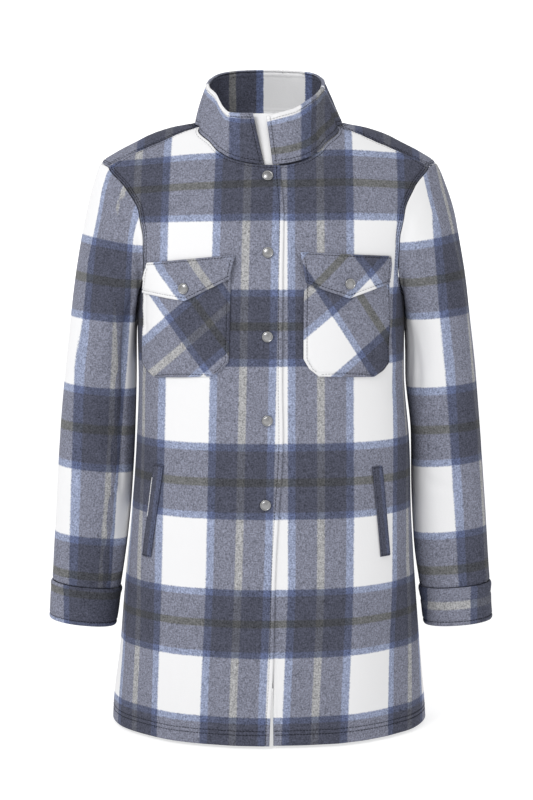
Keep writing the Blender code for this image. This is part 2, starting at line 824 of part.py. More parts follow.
def laid_rows(table, steps, columns, out, on_left):
    """Points of a laid piece, with each stretch between two rows of its table cut in steps."""
    rows = []
    for r, (upper, lower) in enumerate(zip(table, table[1:])):
        for s in range(0 if r == 0 else 1, steps[r] + 1):
            t = s / steps[r]
            x0, z0, x1, z1 = (between(high, low, t) for high, low in zip(upper, lower))
            rows.append([laid_point(between(x0, x1, k / columns), between(z0, z1, k / columns),
                                    out, on_left) for k in range(columns + 1)])
    return rows


def make_pocket(name, table, on_left, collection):
    rows = laid_rows(table, POCKET_STEPS, POCKET_COLUMNS, POCKET_GAP + POCKET_WALL, on_left)
    return sheet(name, rows, POCKET_WALL, CLOTH_DARK, collection, flip=True)


def make_flap(name, table, on_left, collection):
    """Pocket flap: close to the front along its top edge, and over the pocket below it."""
    top_out = LAID_GAP + FLAP_WALL
    low_out = POCKET_GAP + POCKET_WALL + FLAP_GAP + FLAP_WALL
    rows = []
    for v in FLAP_ROWS:
        row = []
        for k in range(FLAP_COLUMNS + 1):
            place = k / FLAP_COLUMNS * (len(table) - 1)
            i = min(int(place), len(table) - 2)
            steps = zip(table[i], table[i + 1])
            x_top, z_top, x_low, z_low = (between(a, b, place - i) for a, b in steps)
            to_middle = (1 - k / FLAP_COLUMNS) if on_left else k / FLAP_COLUMNS
            lifted = FLAP_CURL * smooth_step(FLAP_CURL_START, 1.0, to_middle) * v
            out = between(top_out, low_out, smooth_step(0.0, FLAP_SEAT_END, v)) + lifted
            row.append(laid_point(between(x_top, x_low, v), between(z_top, z_low, v), out, on_left))
        rows.append(row)
    return sheet(name, rows, FLAP_WALL, CLOTH_DARK, collection, flip=True)


def make_welt(name, table, on_left, collection):
    rows = laid_rows(table, WELT_STEPS, WELT_COLUMNS, LAID_GAP + WELT_WALL, on_left)
    return sheet(name, rows, WELT_WALL, CLOTH_GREY, collection, flip=True)


# Snaps
def snap_mesh():
    """Outline of a snap's cap: a shallow dome inside a raised ring."""
    mesh = bpy.data.meshes.new("snap_outline")
    spots = [(step.out * SNAP_RADIUS, 0, step.up * SNAP_RADIUS) for step in SNAP_OUTLINE]
    mesh.from_pydata(spots, [(k, k + 1) for k in range(len(spots) - 1)], [])
    return mesh


def make_snap(name, mesh, place, normal, collection):
    piece = bpy.data.objects.new(name, mesh)
    piece.location = place
    piece.rotation_mode = "QUATERNION"
    piece.rotation_quaternion = normal.to_track_quat("Z", "Y")
    collection.objects.link(piece)
    turn = piece.modifiers.new("turned", "SCREW")
    turn.axis = "Z"
    turn.steps = SNAP_SIDES
    turn.render_steps = SNAP_SIDES
    turn.use_merge_vertices = True
    turn.merge_threshold = SNAP_MERGE
    turn.use_smooth_shade = True
    return piece


def make_snaps(collection):
    mesh = snap_mesh()
    mesh.materials.append(new_material("snap", SNAP_METAL))
    flap_out = POCKET_GAP + POCKET_WALL + FLAP_GAP + FLAP_WALL + SNAP_GAP
    for k, (x_mm, z_mm) in enumerate(FRONT_SNAPS):
        place = laid_point(x_mm, z_mm, SNAP_GAP, False)
        make_snap(f"snap_front_{k + 1}", mesh, place, form_normal(turn_at_x(x_mm, z_mm), z_mm * MM),
                  collection)
    for name, (x_mm, z_mm) in zip(("snap_pocket_right", "snap_pocket_left"), POCKET_SNAPS):
        place = laid_point(x_mm, z_mm, flap_out, x_mm > 0)
        make_snap(name, mesh, place, form_normal(turn_at_x(x_mm, z_mm), z_mm * MM), collection)


def clear_scene():
    for piece in list(bpy.data.objects):
        bpy.data.objects.remove(piece)


def main():
    clear_scene()
    shacket = new_collection("shacket")
    make_front("front_right", "over", False, LAP_OUT, shacket)
    make_front("front_left", "under", True, -LAP_IN, shacket)
    make_back(shacket)
    make_sleeve("sleeve_right", False, shacket)
    make_sleeve("sleeve_left", True, shacket)
    make_cuff("cuff_right", False, shacket)
    make_cuff("cuff_left", True, shacket)
    make_collar(shacket)
    make_underlap(shacket)
    make_pocket("pocket_right", POCKET_RIGHT, False, shacket)
    make_pocket("pocket_left", POCKET_LEFT, True, shacket)
    make_flap("flap_right", FLAP_RIGHT, False, shacket)
    make_flap("flap_left", FLAP_LEFT, True, shacket)
    make_welt("welt_right", WELT_RIGHT, False, shacket)
    make_welt("welt_left", WELT_LEFT, True, shacket)
    make_snaps(shacket)


main()
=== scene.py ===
"""Visual model of the shacket: its cloth pieces, stitching and snaps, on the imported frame."""
import logging
import math
from dataclasses import dataclass
from enum import Enum
from typing import Any, Callable, Sequence

import bpy
import numpy as np
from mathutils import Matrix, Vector


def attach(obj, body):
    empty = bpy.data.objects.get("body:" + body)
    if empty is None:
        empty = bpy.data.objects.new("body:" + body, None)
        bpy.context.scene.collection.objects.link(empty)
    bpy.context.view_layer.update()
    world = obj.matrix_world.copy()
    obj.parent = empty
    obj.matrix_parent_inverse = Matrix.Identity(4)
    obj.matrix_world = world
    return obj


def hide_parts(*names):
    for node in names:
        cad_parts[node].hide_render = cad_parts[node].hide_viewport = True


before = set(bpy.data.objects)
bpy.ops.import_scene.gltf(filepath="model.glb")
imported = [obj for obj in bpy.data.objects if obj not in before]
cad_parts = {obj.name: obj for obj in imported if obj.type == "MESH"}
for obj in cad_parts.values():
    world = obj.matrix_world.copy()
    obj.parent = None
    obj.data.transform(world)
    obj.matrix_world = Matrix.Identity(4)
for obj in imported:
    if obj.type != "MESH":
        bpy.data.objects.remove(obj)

LOG = logging.getLogger("shacket")
Array = np.ndarray
Colour = tuple[float, float, float]
Line = tuple[Array, Array, Array]
Placing = Callable[[Array, Array], Array]

MM = 0.001
UV_SPAN = 100.0


class Hand(Enum):
    """Side of the wearer; the right one is on the viewer's left."""

    RIGHT = "right"
    LEFT = "left"

    @property
    def sign(self) -> float:
        """Direction of this side along X."""
        return -1.0 if self is Hand.RIGHT else 1.0


class Hold(Enum):
    """How a sheet of cloth is held."""

    HUNG = "hung"
    LAID = "laid"
    FOLDED = "folded"


# ---------------------------------------------------------------- curves and tables
@dataclass(frozen=True)
class Curve:
    """Smooth curve through values at rising places, which never overshoots them."""

    places: tuple[float, ...]
    values: tuple[float, ...]

    def __call__(self, at: Any) -> Array:
        """Read the curve.

        Args:
            at: Place or array of places; it is held constant outside the ends.

        Returns:
            The values there.
        """
        x = np.asarray(self.places, float)
        y = np.asarray(self.values, float)
        slopes = np.diff(y) / np.diff(x)
        tangents = np.empty_like(y)
        tangents[0], tangents[-1] = slopes[0], slopes[-1]
        product = slopes[:-1] * slopes[1:]
        total = slopes[:-1] + slopes[1:]
        tangents[1:-1] = np.where(product > 0, 2 * product / np.where(total == 0, 1, total), 0)
        at = np.clip(np.asarray(at, float), x[0], x[-1])
        k = np.clip(np.searchsorted(x, at, side="right") - 1, 0, len(x) - 2)
        span = x[k + 1] - x[k]
        t = (at - x[k]) / span
        rise = t * t * (3 - 2 * t)
        level = y[k] * (1 - rise) + y[k + 1] * rise
        return level + span * (tangents[k] * t * (1 - t) ** 2 + tangents[k + 1] * t * t * (t - 1))


@dataclass(frozen=True)
class Table:
    """Rows of numbers read by column as smooth curves over the first one."""

    columns: tuple[str, ...]
    rows: tuple[tuple[float, ...], ...]

    def read(self, column: str, at: Any) -> Array:
        """Value of one column at a place in the first one."""
        k = self.columns.index(column)
        return Curve(tuple(r[0] for r in self.rows), tuple(r[k] for r in self.rows))(at)


def smooth_step(low: float, high: float, value: Any) -> Array:
    """0 below low, 1 above high, and a smooth rise between."""
    t = np.clip((np.asarray(value, float) - low) / (high - low), 0, 1)
    return t * t * (3 - 2 * t)


def bell(distance: Array, wide: float) -> Array:
    """1 at no distance, falling softly to 0 over a width."""
    return np.exp(-(distance / wide) ** 2)


def signed_power(value: Any, power: Any) -> Array:
    """Power that keeps the sign of its value."""
    return np.sign(value) * np.abs(value) ** power


def unit(vectors: Array) -> Array:
    """The same directions with length one."""
    return vectors / np.maximum(np.linalg.norm(vectors, axis=-1, keepdims=True), 1e-9)


def stacked(*parts: Any) -> Array:
    """Join coordinates as the last axis of one array."""
    return np.stack(np.broadcast_arrays(*parts), -1).astype(float)


def fine_shares(length: float, step: float, start: Sequence[float] = (), end: Sequence[float] = ()) -> Array:
    """Shares from 0 to 1 with chosen distances at each end and even steps between.

    Args:
        length: Length that the shares cut, in millimetres.
        step: Even step in the middle.
        start: Distances from the start, rising from above 0.
        end: Distances from the end, rising from above 0.

    Returns:
        The rising shares, 0 and 1 included.
    """
    low = [0.0, *start]
    high = [length - d for d in reversed(end)] + [length]
    count = max(2, round((high[0] - low[-1]) / step))
    middle = np.linspace(low[-1], high[0], count + 1)[1:-1]
    return np.concatenate([low, middle, high]) / length


def ripple(run: Array, pitch: float, seed: float) -> Array:
    """Uneven wave along a seam, from -1 to 1.

    Args:
        run: Distances along the seam.
        pitch: Length of a wave.
        seed: Changes the wave.

    Returns:
        Heights from -1 to 1.
    """
    wander = 1.4 * np.sin(run / (pitch * 1.63) + seed * 2.1) + 0.8 * np.sin(run / (pitch * 0.71) + seed)
    strength = 0.55 + 0.45 * np.sin(run / (pitch * 2.9) + seed * 3.7)
    return np.sin(2 * math.pi * run / pitch + wander) * strength


def soft_waves(across: Array, along: Array, seed: float) -> Array:
    """Slow unevenness of hanging cloth, about 1 high.

    Args:
        across: Distances across the cloth.
        along: Distances along it.
        seed: Changes the waves.

    Returns:
        Heights, about 1 at most.
    """
    first = np.sin(across / 31 + along / 190 + seed) * np.sin(along / 83 + seed * 1.7)
    second = np.sin(across / 17 - along / 120 + seed * 2.3) * np.sin(along / 57 + seed)
    third = np.sin(across / 11 + along / 41 + seed * 0.6) * np.sin(along / 29 - across / 60 + seed)
    return 0.55 * first + 0.3 * second + 0.15 * third


# ---------------------------------------------------------------- relief
@dataclass(frozen=True)
class Fold:
    """Soft oval swelling or hollow at a turn and a height."""

    turn: float
    z: float
    wide: float
    tall: float
    out: float


@dataclass(frozen=True)
class Crease:
    """Soft trough or ridge along a line between two places, each a turn and a height."""

    turn_a: float
    z_a: float
    turn_b: float
    z_b: float
    width: float
    out: float


def fold_height(folds: Sequence[Fold], turn: Array, z: Array) -> Array:
    """Sum of soft folds at places round a closed section.

    Args:
        folds: The folds.
        turn: Turns in degrees.
        z: Heights in millimetres.

    Returns:
        Heights above the bare form.
    """
    total = np.zeros(np.broadcast(turn, z).shape)
    for fold in folds:
        across = (turn - fold.turn + 180) % 360 - 180
        total += fold.out * np.exp(-(across / fold.wide) ** 2 - ((z - fold.z) / fold.tall) ** 2)
    return total


def crease_height(creases: Sequence[Crease], turn: Array, z: Array, scale: float) -> Array:
    """Sum of creases at places.

    Args:
        creases: The lines of the creases.
        turn: Turns of the places in degrees.
        z: Heights of the places in millimetres.
        scale: Millimetres of cloth per degree of turn.

    Returns:
        Height above the bare form in millimetres.
    """
    total = np.zeros(np.broadcast(turn, z).shape)
    for crease in creases:
        own = (turn - crease.turn_a + 180) % 360 - 180
        far = (crease.turn_b - crease.turn_a) * scale, crease.z_b - crease.z_a
        place = own * scale, z - crease.z_a
        length = math.hypot(*far)
        share = (place[0] * far[0] + place[1] * far[1]) / length ** 2
        held = np.clip(share, 0, 1)
        bend = crease.width * 0.35 * np.sin(held * 5.1 + crease.z_a)
        side = (place[0] * far[1] - place[1] * far[0]) / length - bend
        beyond = (share - held) * length
        taper = np.sin(math.pi * (0.12 + 0.76 * held)) ** 0.8
        total += crease.out * taper * np.exp(-(side ** 2 + beyond ** 2) / crease.width ** 2)
    return total


BODY_TABLE = Table(("z", "half_width", "front", "back", "round", "shift"), (
    (-790, 207, 146, 143, 2.0, 1.0),
    (-755, 205, 144, 141, 2.0, 1.0),
    (-681, 197, 141, 138, 2.1, 2.0),
    (-583, 189, 137, 134, 2.2, 1.7),
    (-500, 182, 134, 131, 2.3, 3.5),
    (-407, 177, 131, 128, 2.4, 6.0),
    (-318, 171.5, 129, 125, 2.45, 3.6),
    (-225, 172.5, 127, 122, 2.35, 3.0),
    (-190, 183, 125, 121, 2.2, 3.0),
    (-150, 204, 119, 118, 2.05, 3.5),
    (-115, 219, 110, 113, 1.98, 4.0),
    (-85, 224, 98, 107, 1.95, 2.0),
    (-62, 219, 86, 100, 1.92, 0),
    (-51, 215, 79, 95, 1.9, 0),
    (-37, 195, 70, 89, 1.8, 0),
    (-23, 168, 61, 82, 1.75, 0),
    (-14, 150, 55, 77, 1.75, 0),
    (-6, 126, 48, 72, 1.75, 0),
    (2, 91, 41, 67, 1.85, 0),
    (12, 86, 36, 65, 1.95, 0),
))

BODY_FOLDS = (
    Fold(-38, -700, 9, 110, -2.6), Fold(-58, -730, 8, 90, 1.8), Fold(-118, -720, 8, 100, 1.6),
    Fold(-140, -700, 9, 110, -2.6), Fold(35, -700, 9, 120, -3), Fold(62, -690, 9, 130, 2.4),
    Fold(90, -720, 10, 110, -2.6), Fold(118, -690, 9, 130, 2.4), Fold(146, -700, 9, 120, -3),
    Fold(48, -260, 9, 70, -3), Fold(132, -260, 9, 70, -3),
)

BODY_CREASES = (
    Crease(-14, -232, -40, -285, 9, -1.6), Crease(-10, -262, -30, -330, 10, -1.4),
    Crease(-166, -236, -140, -290, 9, -1.6), Crease(-170, -270, -150, -340, 10, -1.3),
    Crease(-30, -150, -18, -215, 8, -1.6), Crease(-148, -150, -162, -215, 8, -1.6),
    Crease(-22, -560, -34, -690, 13, -1.6), Crease(-158, -540, -146, -690, 13, -1.6),
    Crease(-66, -540, -62, -735, 14, -1.3), Crease(-110, -560, -116, -740, 14, -1.3),
    Crease(-50, -420, -62, -520, 12, 1.0), Crease(-128, -430, -118, -520, 12, 1.0),
    Crease(14, -235, 40, -300, 10, -2.0), Crease(166, -235, 140, -300, 10, -2.0),
    Crease(30, -380, 52, -470, 13, -1.6), Crease(150, -400, 126, -480, 13, -1.6),
    Crease(60, -90, 84, -150, 14, -1.5), Crease(120, -95, 98, -150, 14, -1.4),
    Crease(74, -520, 70, -700, 15, -1.8), Crease(108, -540, 112, -720, 15, -1.7),
)
BODY_SCALE = 2.7


@dataclass(frozen=True)
class BodyForm:
    """Tapering tube of the body: turn 0 is the side seam at -X and 90 the middle of the back."""

    table: Table = BODY_TABLE
    folds: tuple[Fold, ...] = BODY_FOLDS
    creases: tuple[Crease, ...] = BODY_CREASES

    def point(self, turn: Any, z: Any) -> Array:
        """Points of the bare form at turns in degrees and heights in millimetres.

        Args:
            turn: Turns in degrees.
            z: Heights in millimetres.

        Returns:
            Points in millimetres.
        """
        sine = np.sin(np.radians(turn))
        power = 2 / self.table.read("round", z)
        depth = np.where(sine < 0, self.table.read("front", z), self.table.read("back", z))
        x = -self.table.read("half_width", z) * signed_power(np.cos(np.radians(turn)), power)
        return stacked(x + self.table.read("shift", z), depth * signed_power(sine, power), z)

    def normal(self, turn: Any, z: Any) -> Array:
        """Outward directions of the bare form.

        Args:
            turn: Turns in degrees.
            z: Heights in millimetres.

        Returns:
            Vectors of length one.
        """
        around = self.point(turn + 0.5, z) - self.point(turn - 0.5, z)
        up = self.point(turn, z + 1.0) - self.point(turn, z - 1.0)
        return unit(np.cross(up, around))

    def cloth(self, turn: Any, z: Any, out: Any = 0.0) -> Array:
        """Points of the draped cloth, moved out by a distance.

        Args:
            turn: Turns in degrees.
            z: Heights in millimetres.
            out: Distance outwards.

        Returns:
            Points in millimetres.
        """
        turn, z = np.broadcast_arrays(np.asarray(turn, float), np.asarray(z, float))
        lift = fold_height(self.folds, turn, z) + crease_height(self.creases, turn, z, BODY_SCALE)
        lift = lift + 0.9 * soft_waves(turn * BODY_SCALE, z, 1.3) * smooth_step(-60, -130, z)
        return self.point(turn, z) + self.normal(turn, z) * (lift + out)[..., None]

    def turn_at_x(self, x: Any, z: Any) -> Array:
        """Turn of the front's point at a sideways place.

        Args:
            x: Sideways places in millimetres.
            z: Heights in millimetres.

        Returns:
            Turns in degrees.
        """
        power = self.table.read("round", z) / 2
        ratio = (x - self.table.read("shift", z)) / self.table.read("half_width", z)
        return -np.degrees(np.arccos(np.clip(-signed_power(ratio, power), -1, 1)))

    def edge_turn(self, reach: Any, z: Any) -> Array:
        """Turn at which a front ends, given how far past the middle it reaches.

        Args:
            reach: How far past the middle it reaches.
            z: Heights in millimetres.

        Returns:
            Turns in degrees.
        """
        power = self.table.read("round", z) / 2
        share = signed_power(reach / self.table.read("half_width", z), power)
        return -np.degrees(np.arccos(-share))

    def seam_turn(self, x: float, z: float, side: int) -> float:
        """Turn of a seam point given by its distance from the middle.

        Args:
            x: Distance from the middle.
            z: Height.
            side: -1 in front, 1 behind, 0 on the side seam.

        Returns:
            Turn in degrees.
        """
        if side == 0:
            return 0.0
        power = self.table.read("round", z) / 2
        share = signed_power(x / self.table.read("half_width", z), power)
        return side * float(np.degrees(np.arccos(np.clip(share, -1, 1))))

    def arc_past(self, turn: Array, z: Array, limit: float) -> Array:
        """How much longer the cloth is than its sideways distance, beyond a limit from the middle.

        Args:
            turn: Turns in degrees.
            z: Heights in millimetres.
            limit: Distance from the middle.

        Returns:
            Extra lengths, with the sign of their side.
        """
        point = self.point(turn, z)
        side = np.sign(point[..., 0])
        beyond = np.maximum(np.abs(point[..., 0]) - limit, 0)
        x_start = side * np.minimum(np.abs(point[..., 0]), limit)
        start = self.turn_at_x(x_start, z)
        start = np.where(np.sin(np.radians(turn)) > 0, -start, start)
        steps = np.linspace(0, 1, 17)
        run = np.zeros(turn.shape)
        last = self.point(start, z)
        for share in steps[1:]:
            spot = self.point(start + (turn - start) * share, z)
            run += np.linalg.norm(spot - last, axis=-1)
            last = spot
        return np.where(beyond > 0, side * np.maximum(run - beyond, 0), 0)


FORM = BodyForm()


# ---------------------------------------------------------------- seams
SEAM_HALF_GAP = 0.25
SEAM_LINES = (3.6, 7.0)
LAP_OUT = {Hand.RIGHT: 1.2, Hand.LEFT: -1.9}
LAP_FADE = (32, 95)
SHOULDER_GAP = 0.45
HEM_Z = -777.0
UNDERARM_Z = -225.0
SLEEVE_END_Z = -597.0

ARMHOLE_FRONT = ((172.5, -225, 0), (168, -216, -1), (163, -198, -1), (161, -166, -1), (162.5, -136, -1),
                 (167, -112, -1), (182, -82, -1), (204, -56, -1))
ARMHOLE_TOP = ((204, -56, -1), (209.5, -53, -1), (214, -50.5, 0), (210, -54, 1))
ARMHOLE_BACK = ((210, -54, 1), (196, -74, 1), (182, -105, 1), (173, -145, 1), (169, -190, 1),
                (168.5, -214, 1), (172.5, -225, 0))
SHOULDER_SEAM = ((204, -56, -1), (191, -48.5, -1), (163, -35.5, -1), (125, -19, -1), (104, -10.5, -1),
                 (86, -5, -1))
NECK_FRONT = ((86, -5, -1), (75, -24, -1), (64, -36, -1), (44, -47, -1), (20, -52.5, -1), (0, -54, -1))
NECK_BACK = ((0, 2.2), (25, 5.4), (50, 9), (72, 11.2), (90, 11.8))
FRONT_EDGES = Table(("z", "over", "under"), (
    (-790, -0.5, -5.2), (-730, 1.8, -4.4), (-682, 3.6, -3), (-617, 5.6, 4), (-541, 7, 14),
    (-368, 12.6, 20), (-200, 14.4, 22), (-50, 14.8, 22),
))


@dataclass(frozen=True)
class SeamLine:
    """Curve on the body form through places, each a turn and a height."""

    places: tuple[tuple[float, float], ...]

    def shares(self) -> Array:
        """Share of the seam's length at each of its places.

        Returns:
            Rising shares, 0 and 1 included.
        """
        spots = FORM.point(np.array([p[0] for p in self.places]), np.array([p[1] for p in self.places]))
        run = np.concatenate([[0.0], np.cumsum(np.linalg.norm(np.diff(spots, axis=0), axis=1))])
        return run / run[-1]

    def at(self, share: Any) -> tuple[Array, Array]:
        """Turns and heights at shares of the length.

        Args:
            share: Shares from 0 to 1.

        Returns:
            Turns and heights.
        """
        shares = tuple(self.shares())
        turn = Curve(shares, tuple(p[0] for p in self.places))(share)
        z = Curve(shares, tuple(p[1] for p in self.places))(share)
        return turn, z


def seam_line(points: Sequence[tuple[float, float, int]]) -> SeamLine:
    """Seam through points given by their distance from the middle, height and side."""
    return SeamLine(tuple((FORM.seam_turn(*p), p[1]) for p in points))


FRONT_ARM_LINE = seam_line(ARMHOLE_FRONT)
BACK_ARM_LINE = seam_line(ARMHOLE_BACK[::-1] + ARMHOLE_TOP[::-1][1:])
SHOULDER_LINE = seam_line(SHOULDER_SEAM)
NECK_FRONT_LINE = seam_line(NECK_FRONT)
NECK_BACK_LINE = SeamLine((NECK_FRONT_LINE.places[0],) + NECK_BACK)

Edge = Callable[[Array], tuple[Array, Array]]


def coons(bottom: Edge, top: Edge, left: Edge, right: Edge, u: Array, v: Array) -> tuple[Array, Array]:
    """Places inside four edges, each given as a function of its share.

    Args:
        bottom: Edge read by u at v 0.
        top: Edge read by u at v 1; its turns are felt only close to it.
        left: Edge read by v at u 0.
        right: Edge read by v at u 1.
        u: Shares across.
        v: Shares up.

    Returns:
        Turns and heights as arrays of rows.
    """
    across, up = np.meshgrid(u, v)
    zero, one = np.zeros(1), np.ones(1)
    place = []
    for i, power in ((0, 3.0), (1, 2.4)):
        felt = up ** power
        low = bottom(across)[i] - bottom(zero)[i] - across * (bottom(one)[i] - bottom(zero)[i])
        high = top(across)[i] - top(zero)[i] - across * (top(one)[i] - top(zero)[i])
        sides = (1 - across) * left(up)[i] + across * right(up)[i]
        place.append(sides + (1 - felt) * low + felt * high)
    return place[0], place[1]


# ---------------------------------------------------------------- grids and meshes
@dataclass
class Grid:
    """Rows of points of a sheet's outer face, with the place of each on the cloth's pattern."""

    points: Array
    pattern: Array
    flip: bool = False
    ring: bool = False

    def normals(self) -> Array:
        """Outward direction at every point.

        Returns:
            Vectors of length one.
        """
        if self.ring:
            wide = np.concatenate([self.points[:, -1:], self.points, self.points[:, :1]], 1)
            across = (wide[:, 2:] - wide[:, :-2])
        else:
            across = np.gradient(self.points, axis=1)
        out = unit(np.cross(across, np.gradient(self.points, axis=0)))
        return -out if self.flip else out

    def run_across(self) -> Array:
        """Distance of every point from the first column, along its row."""
        step = np.linalg.norm(np.diff(self.points, axis=1), axis=2)
        return np.concatenate([np.zeros((len(step), 1)), np.cumsum(step, 1)], 1)

    def run_along(self) -> Array:
        """Distance of every point from the first row, along its column."""
        step = np.linalg.norm(np.diff(self.points, axis=0), axis=2)
        return np.concatenate([np.zeros((1, step.shape[1])), np.cumsum(step, 0)], 0)

    def raised(self, height: Array) -> "Grid":
        """The same grid with every point moved out by a height."""
        moved = self.points + self.normals() * height[..., None]
        return Grid(moved, self.pattern, self.flip, self.ring)

    def line(self, edge: str, distance: float, first: int = 0, last: int | None = None) -> Line:
        """Line on the grid at a distance from one edge.

        Args:
            edge: left, right, low or high.
            distance: Distance from the edge in millimetres.
            first: First row or column of the line.
            last: Row or column before which it ends.

        Returns:
            Points of the line, the outward direction at each and its place on the pattern.
        """
        pattern = self.pattern[:, :self.points.shape[1]]
        data = np.concatenate([self.points, self.normals(), pattern], 2)
        if edge in ("low", "high"):
            data = data.swapaxes(0, 1)
        if edge in ("right", "high"):
            data = data[:, ::-1]
        found = []
        for row in data[first:last]:
            run = np.concatenate([[0.0], np.cumsum(np.linalg.norm(np.diff(row[:, :3], axis=0), axis=1))])
            found.append([np.interp(distance, run, row[:, k]) for k in range(8)])
        line = np.array(found)
        return line[:, :3], unit(line[:, 3:6]), line[:, 6:]

    def flat_size(self) -> tuple[float, float, float]:
        """Width, length and area of the cloth laid flat, in metres.

        Returns:
            The three measures.
        """
        points = np.concatenate([self.points, self.points[:, :1]], 1) if self.ring else self.points
        across = np.linalg.norm(np.diff(points, axis=1), axis=2)
        along = np.linalg.norm(np.diff(points, axis=0), axis=2)
        side = np.cross(points[1:, :-1] - points[:-1, 1:], points[1:, 1:] - points[:-1, :-1])
        area = np.linalg.norm(side, axis=2).sum() / 2
        width, length = across.sum(1).max(), along.sum(0).max()
        return width * MM, length * MM, min(area, width * length) * MM * MM


def seam_dip(distance: Array, deep: float = 1.7, wide: float = 2.0) -> Array:
    """Rolled edge of a panel, which dips towards its seam."""
    return -deep * bell(distance, wide)


def stitched(distance: Array, line: float, run: Array, seed: float, deep: float = 0.4,
             pucker: float = 0.3) -> Array:
    """Groove pulled in by a stitch line, with puckers beside it.

    Args:
        distance: Distance from the edge.
        line: Distance of the stitch line from it.
        run: Distance along the edge.
        seed: Changes the puckers.
        deep: Depth of the groove.
        pucker: Height of the puckers.

    Returns:
        Height in millimetres.
    """
    groove = -2.3 * deep * bell(distance - line, 1.0)
    return groove + pucker * ripple(run, 15, seed) * bell(distance - line, 6)


def plain_material(name: str) -> bpy.types.Material:
    """Material of that name, made at need."""
    return bpy.data.materials.get(name) or bpy.data.materials.new(name)


def link(piece: bpy.types.Object) -> bpy.types.Object:
    """Put an object in the scene."""
    bpy.context.scene.collection.objects.link(piece)
    return piece


def cloth_object(name: str, grid: Grid, wall: float, materials: Sequence[bpy.types.Material]) -> bpy.types.Object:
    """Thin shell on a grid, with its pattern as a UV map named cloth.

    Args:
        name: Name of the object.
        grid: Outer face of the cloth in millimetres.
        wall: Thickness inwards in millimetres.
        materials: Outer material and, at need, one for the inner face.

    Returns:
        The new object.
    """
    rows, columns = grid.points.shape[:2]
    faces, corners = [], []
    wide = grid.pattern.shape[1]
    for r in range(rows - 1):
        for k in range(columns if grid.ring else columns - 1):
            after = (k + 1) % columns
            quad = [(r, k, k), (r, after, k + 1), (r + 1, after, k + 1), (r + 1, k, k)]
            if grid.flip:
                quad = quad[::-1]
            faces.append([row * columns + column for row, column, _ in quad])
            corners += [row * wide + place for row, _, place in quad]
    mesh = bpy.data.meshes.new(name)
    mesh.from_pydata((grid.points.reshape(-1, 3) * MM).tolist(), [], faces)
    layer = mesh.uv_layers.new(name="cloth")
    layer.data.foreach_set("uv", (grid.pattern.reshape(-1, 2)[corners] / UV_SPAN).ravel())
    mesh.shade_smooth()
    piece = link(bpy.data.objects.new(name, mesh))
    for material in materials:
        mesh.materials.append(material)
    solid = piece.modifiers.new("thickness", "SOLIDIFY")
    solid.thickness = wall * MM
    solid.offset = -1
    solid.use_quality_normals = True
    if len(materials) > 1:
        solid.material_offset = 1
    return piece


@dataclass(frozen=True)
class StitchRow:
    """Run of raised thread stitches."""

    pitch: float = 4.0
    length: float = 3.3
    radius: float = 0.52
    sides: int = 5

    def mesh_data(self, line: Line) -> tuple[Array, list[list[int]], list[Array]]:
        """Corners and faces of the stitches along one line.

        Args:
            line: Points of the line, outward directions and places on the pattern.

        Returns:
            Points in millimetres, faces of their numbers and the pattern place of each face.
        """
        points, normals, pattern = line
        run = np.concatenate([[0.0], np.cumsum(np.linalg.norm(np.diff(points, axis=0), axis=1))])
        centres = np.arange(self.pitch, run[-1] - self.pitch / 2, self.pitch)
        ring = [math.tau * k / self.sides for k in range(self.sides)]
        spots: list[Array] = []
        faces: list[list[int]] = []
        shades: list[Array] = []
        for centre in centres:
            place = np.array([np.interp(centre, run, points[:, k]) for k in range(3)])
            ahead = np.array([np.interp(centre + 1, run, points[:, k]) for k in range(3)])
            out = unit(np.array([np.interp(centre, run, normals[:, k]) for k in range(3)]))
            way = unit(ahead - place)
            side = np.cross(way, out)
            start = len(spots)
            for reach, thick, lift in ((-0.5, 0.35, -0.1), (-0.34, 1, 0.12), (0.34, 1, 0.12), (0.5, 0.35, -0.1)):
                middle = place + way * reach * self.length + out * lift
                for angle in ring:
                    spots.append(middle + (side * math.cos(angle) + out * math.sin(angle)) * self.radius * thick)
            for r in range(3):
                for k in range(self.sides):
                    a = start + r * self.sides + k
                    b = start + r * self.sides + (k + 1) % self.sides
                    faces.append([a, a + self.sides, b + self.sides, b])
            faces.append([start + k for k in range(self.sides)])
            faces.append([start + 3 * self.sides + k for k in reversed(range(self.sides))])
            own = np.array([np.interp(centre, run, pattern[:, k]) for k in range(2)])
            shades += [own] * (3 * self.sides + 2)
        return np.array(spots).reshape(-1, 3), faces, shades

    def build(self, name: str, lines: Sequence[Line], material: bpy.types.Material) -> bpy.types.Object:
        """One object of the stitches along several lines.

        Args:
            name: Name of the object.
            lines: The stitch lines.
            material: Its thread.

        Returns:
            The object.
        """
        spots, faces, shades = [], [], []
        for line in lines:
            own, quads, places = self.mesh_data(line)
            count = sum(len(s) for s in spots)
            spots.append(own)
            faces += [[count + k for k in quad] for quad in quads]
            shades += [place for place, quad in zip(places, quads) for _ in quad]
        mesh = bpy.data.meshes.new(name)
        mesh.from_pydata((np.concatenate(spots) * MM).tolist(), [], faces)
        mesh.uv_layers.new(name="cloth").data.foreach_set("uv", (np.array(shades) / UV_SPAN).ravel())
        mesh.shade_smooth()
        mesh.materials.append(material)
        return link(bpy.data.objects.new(name, mesh))


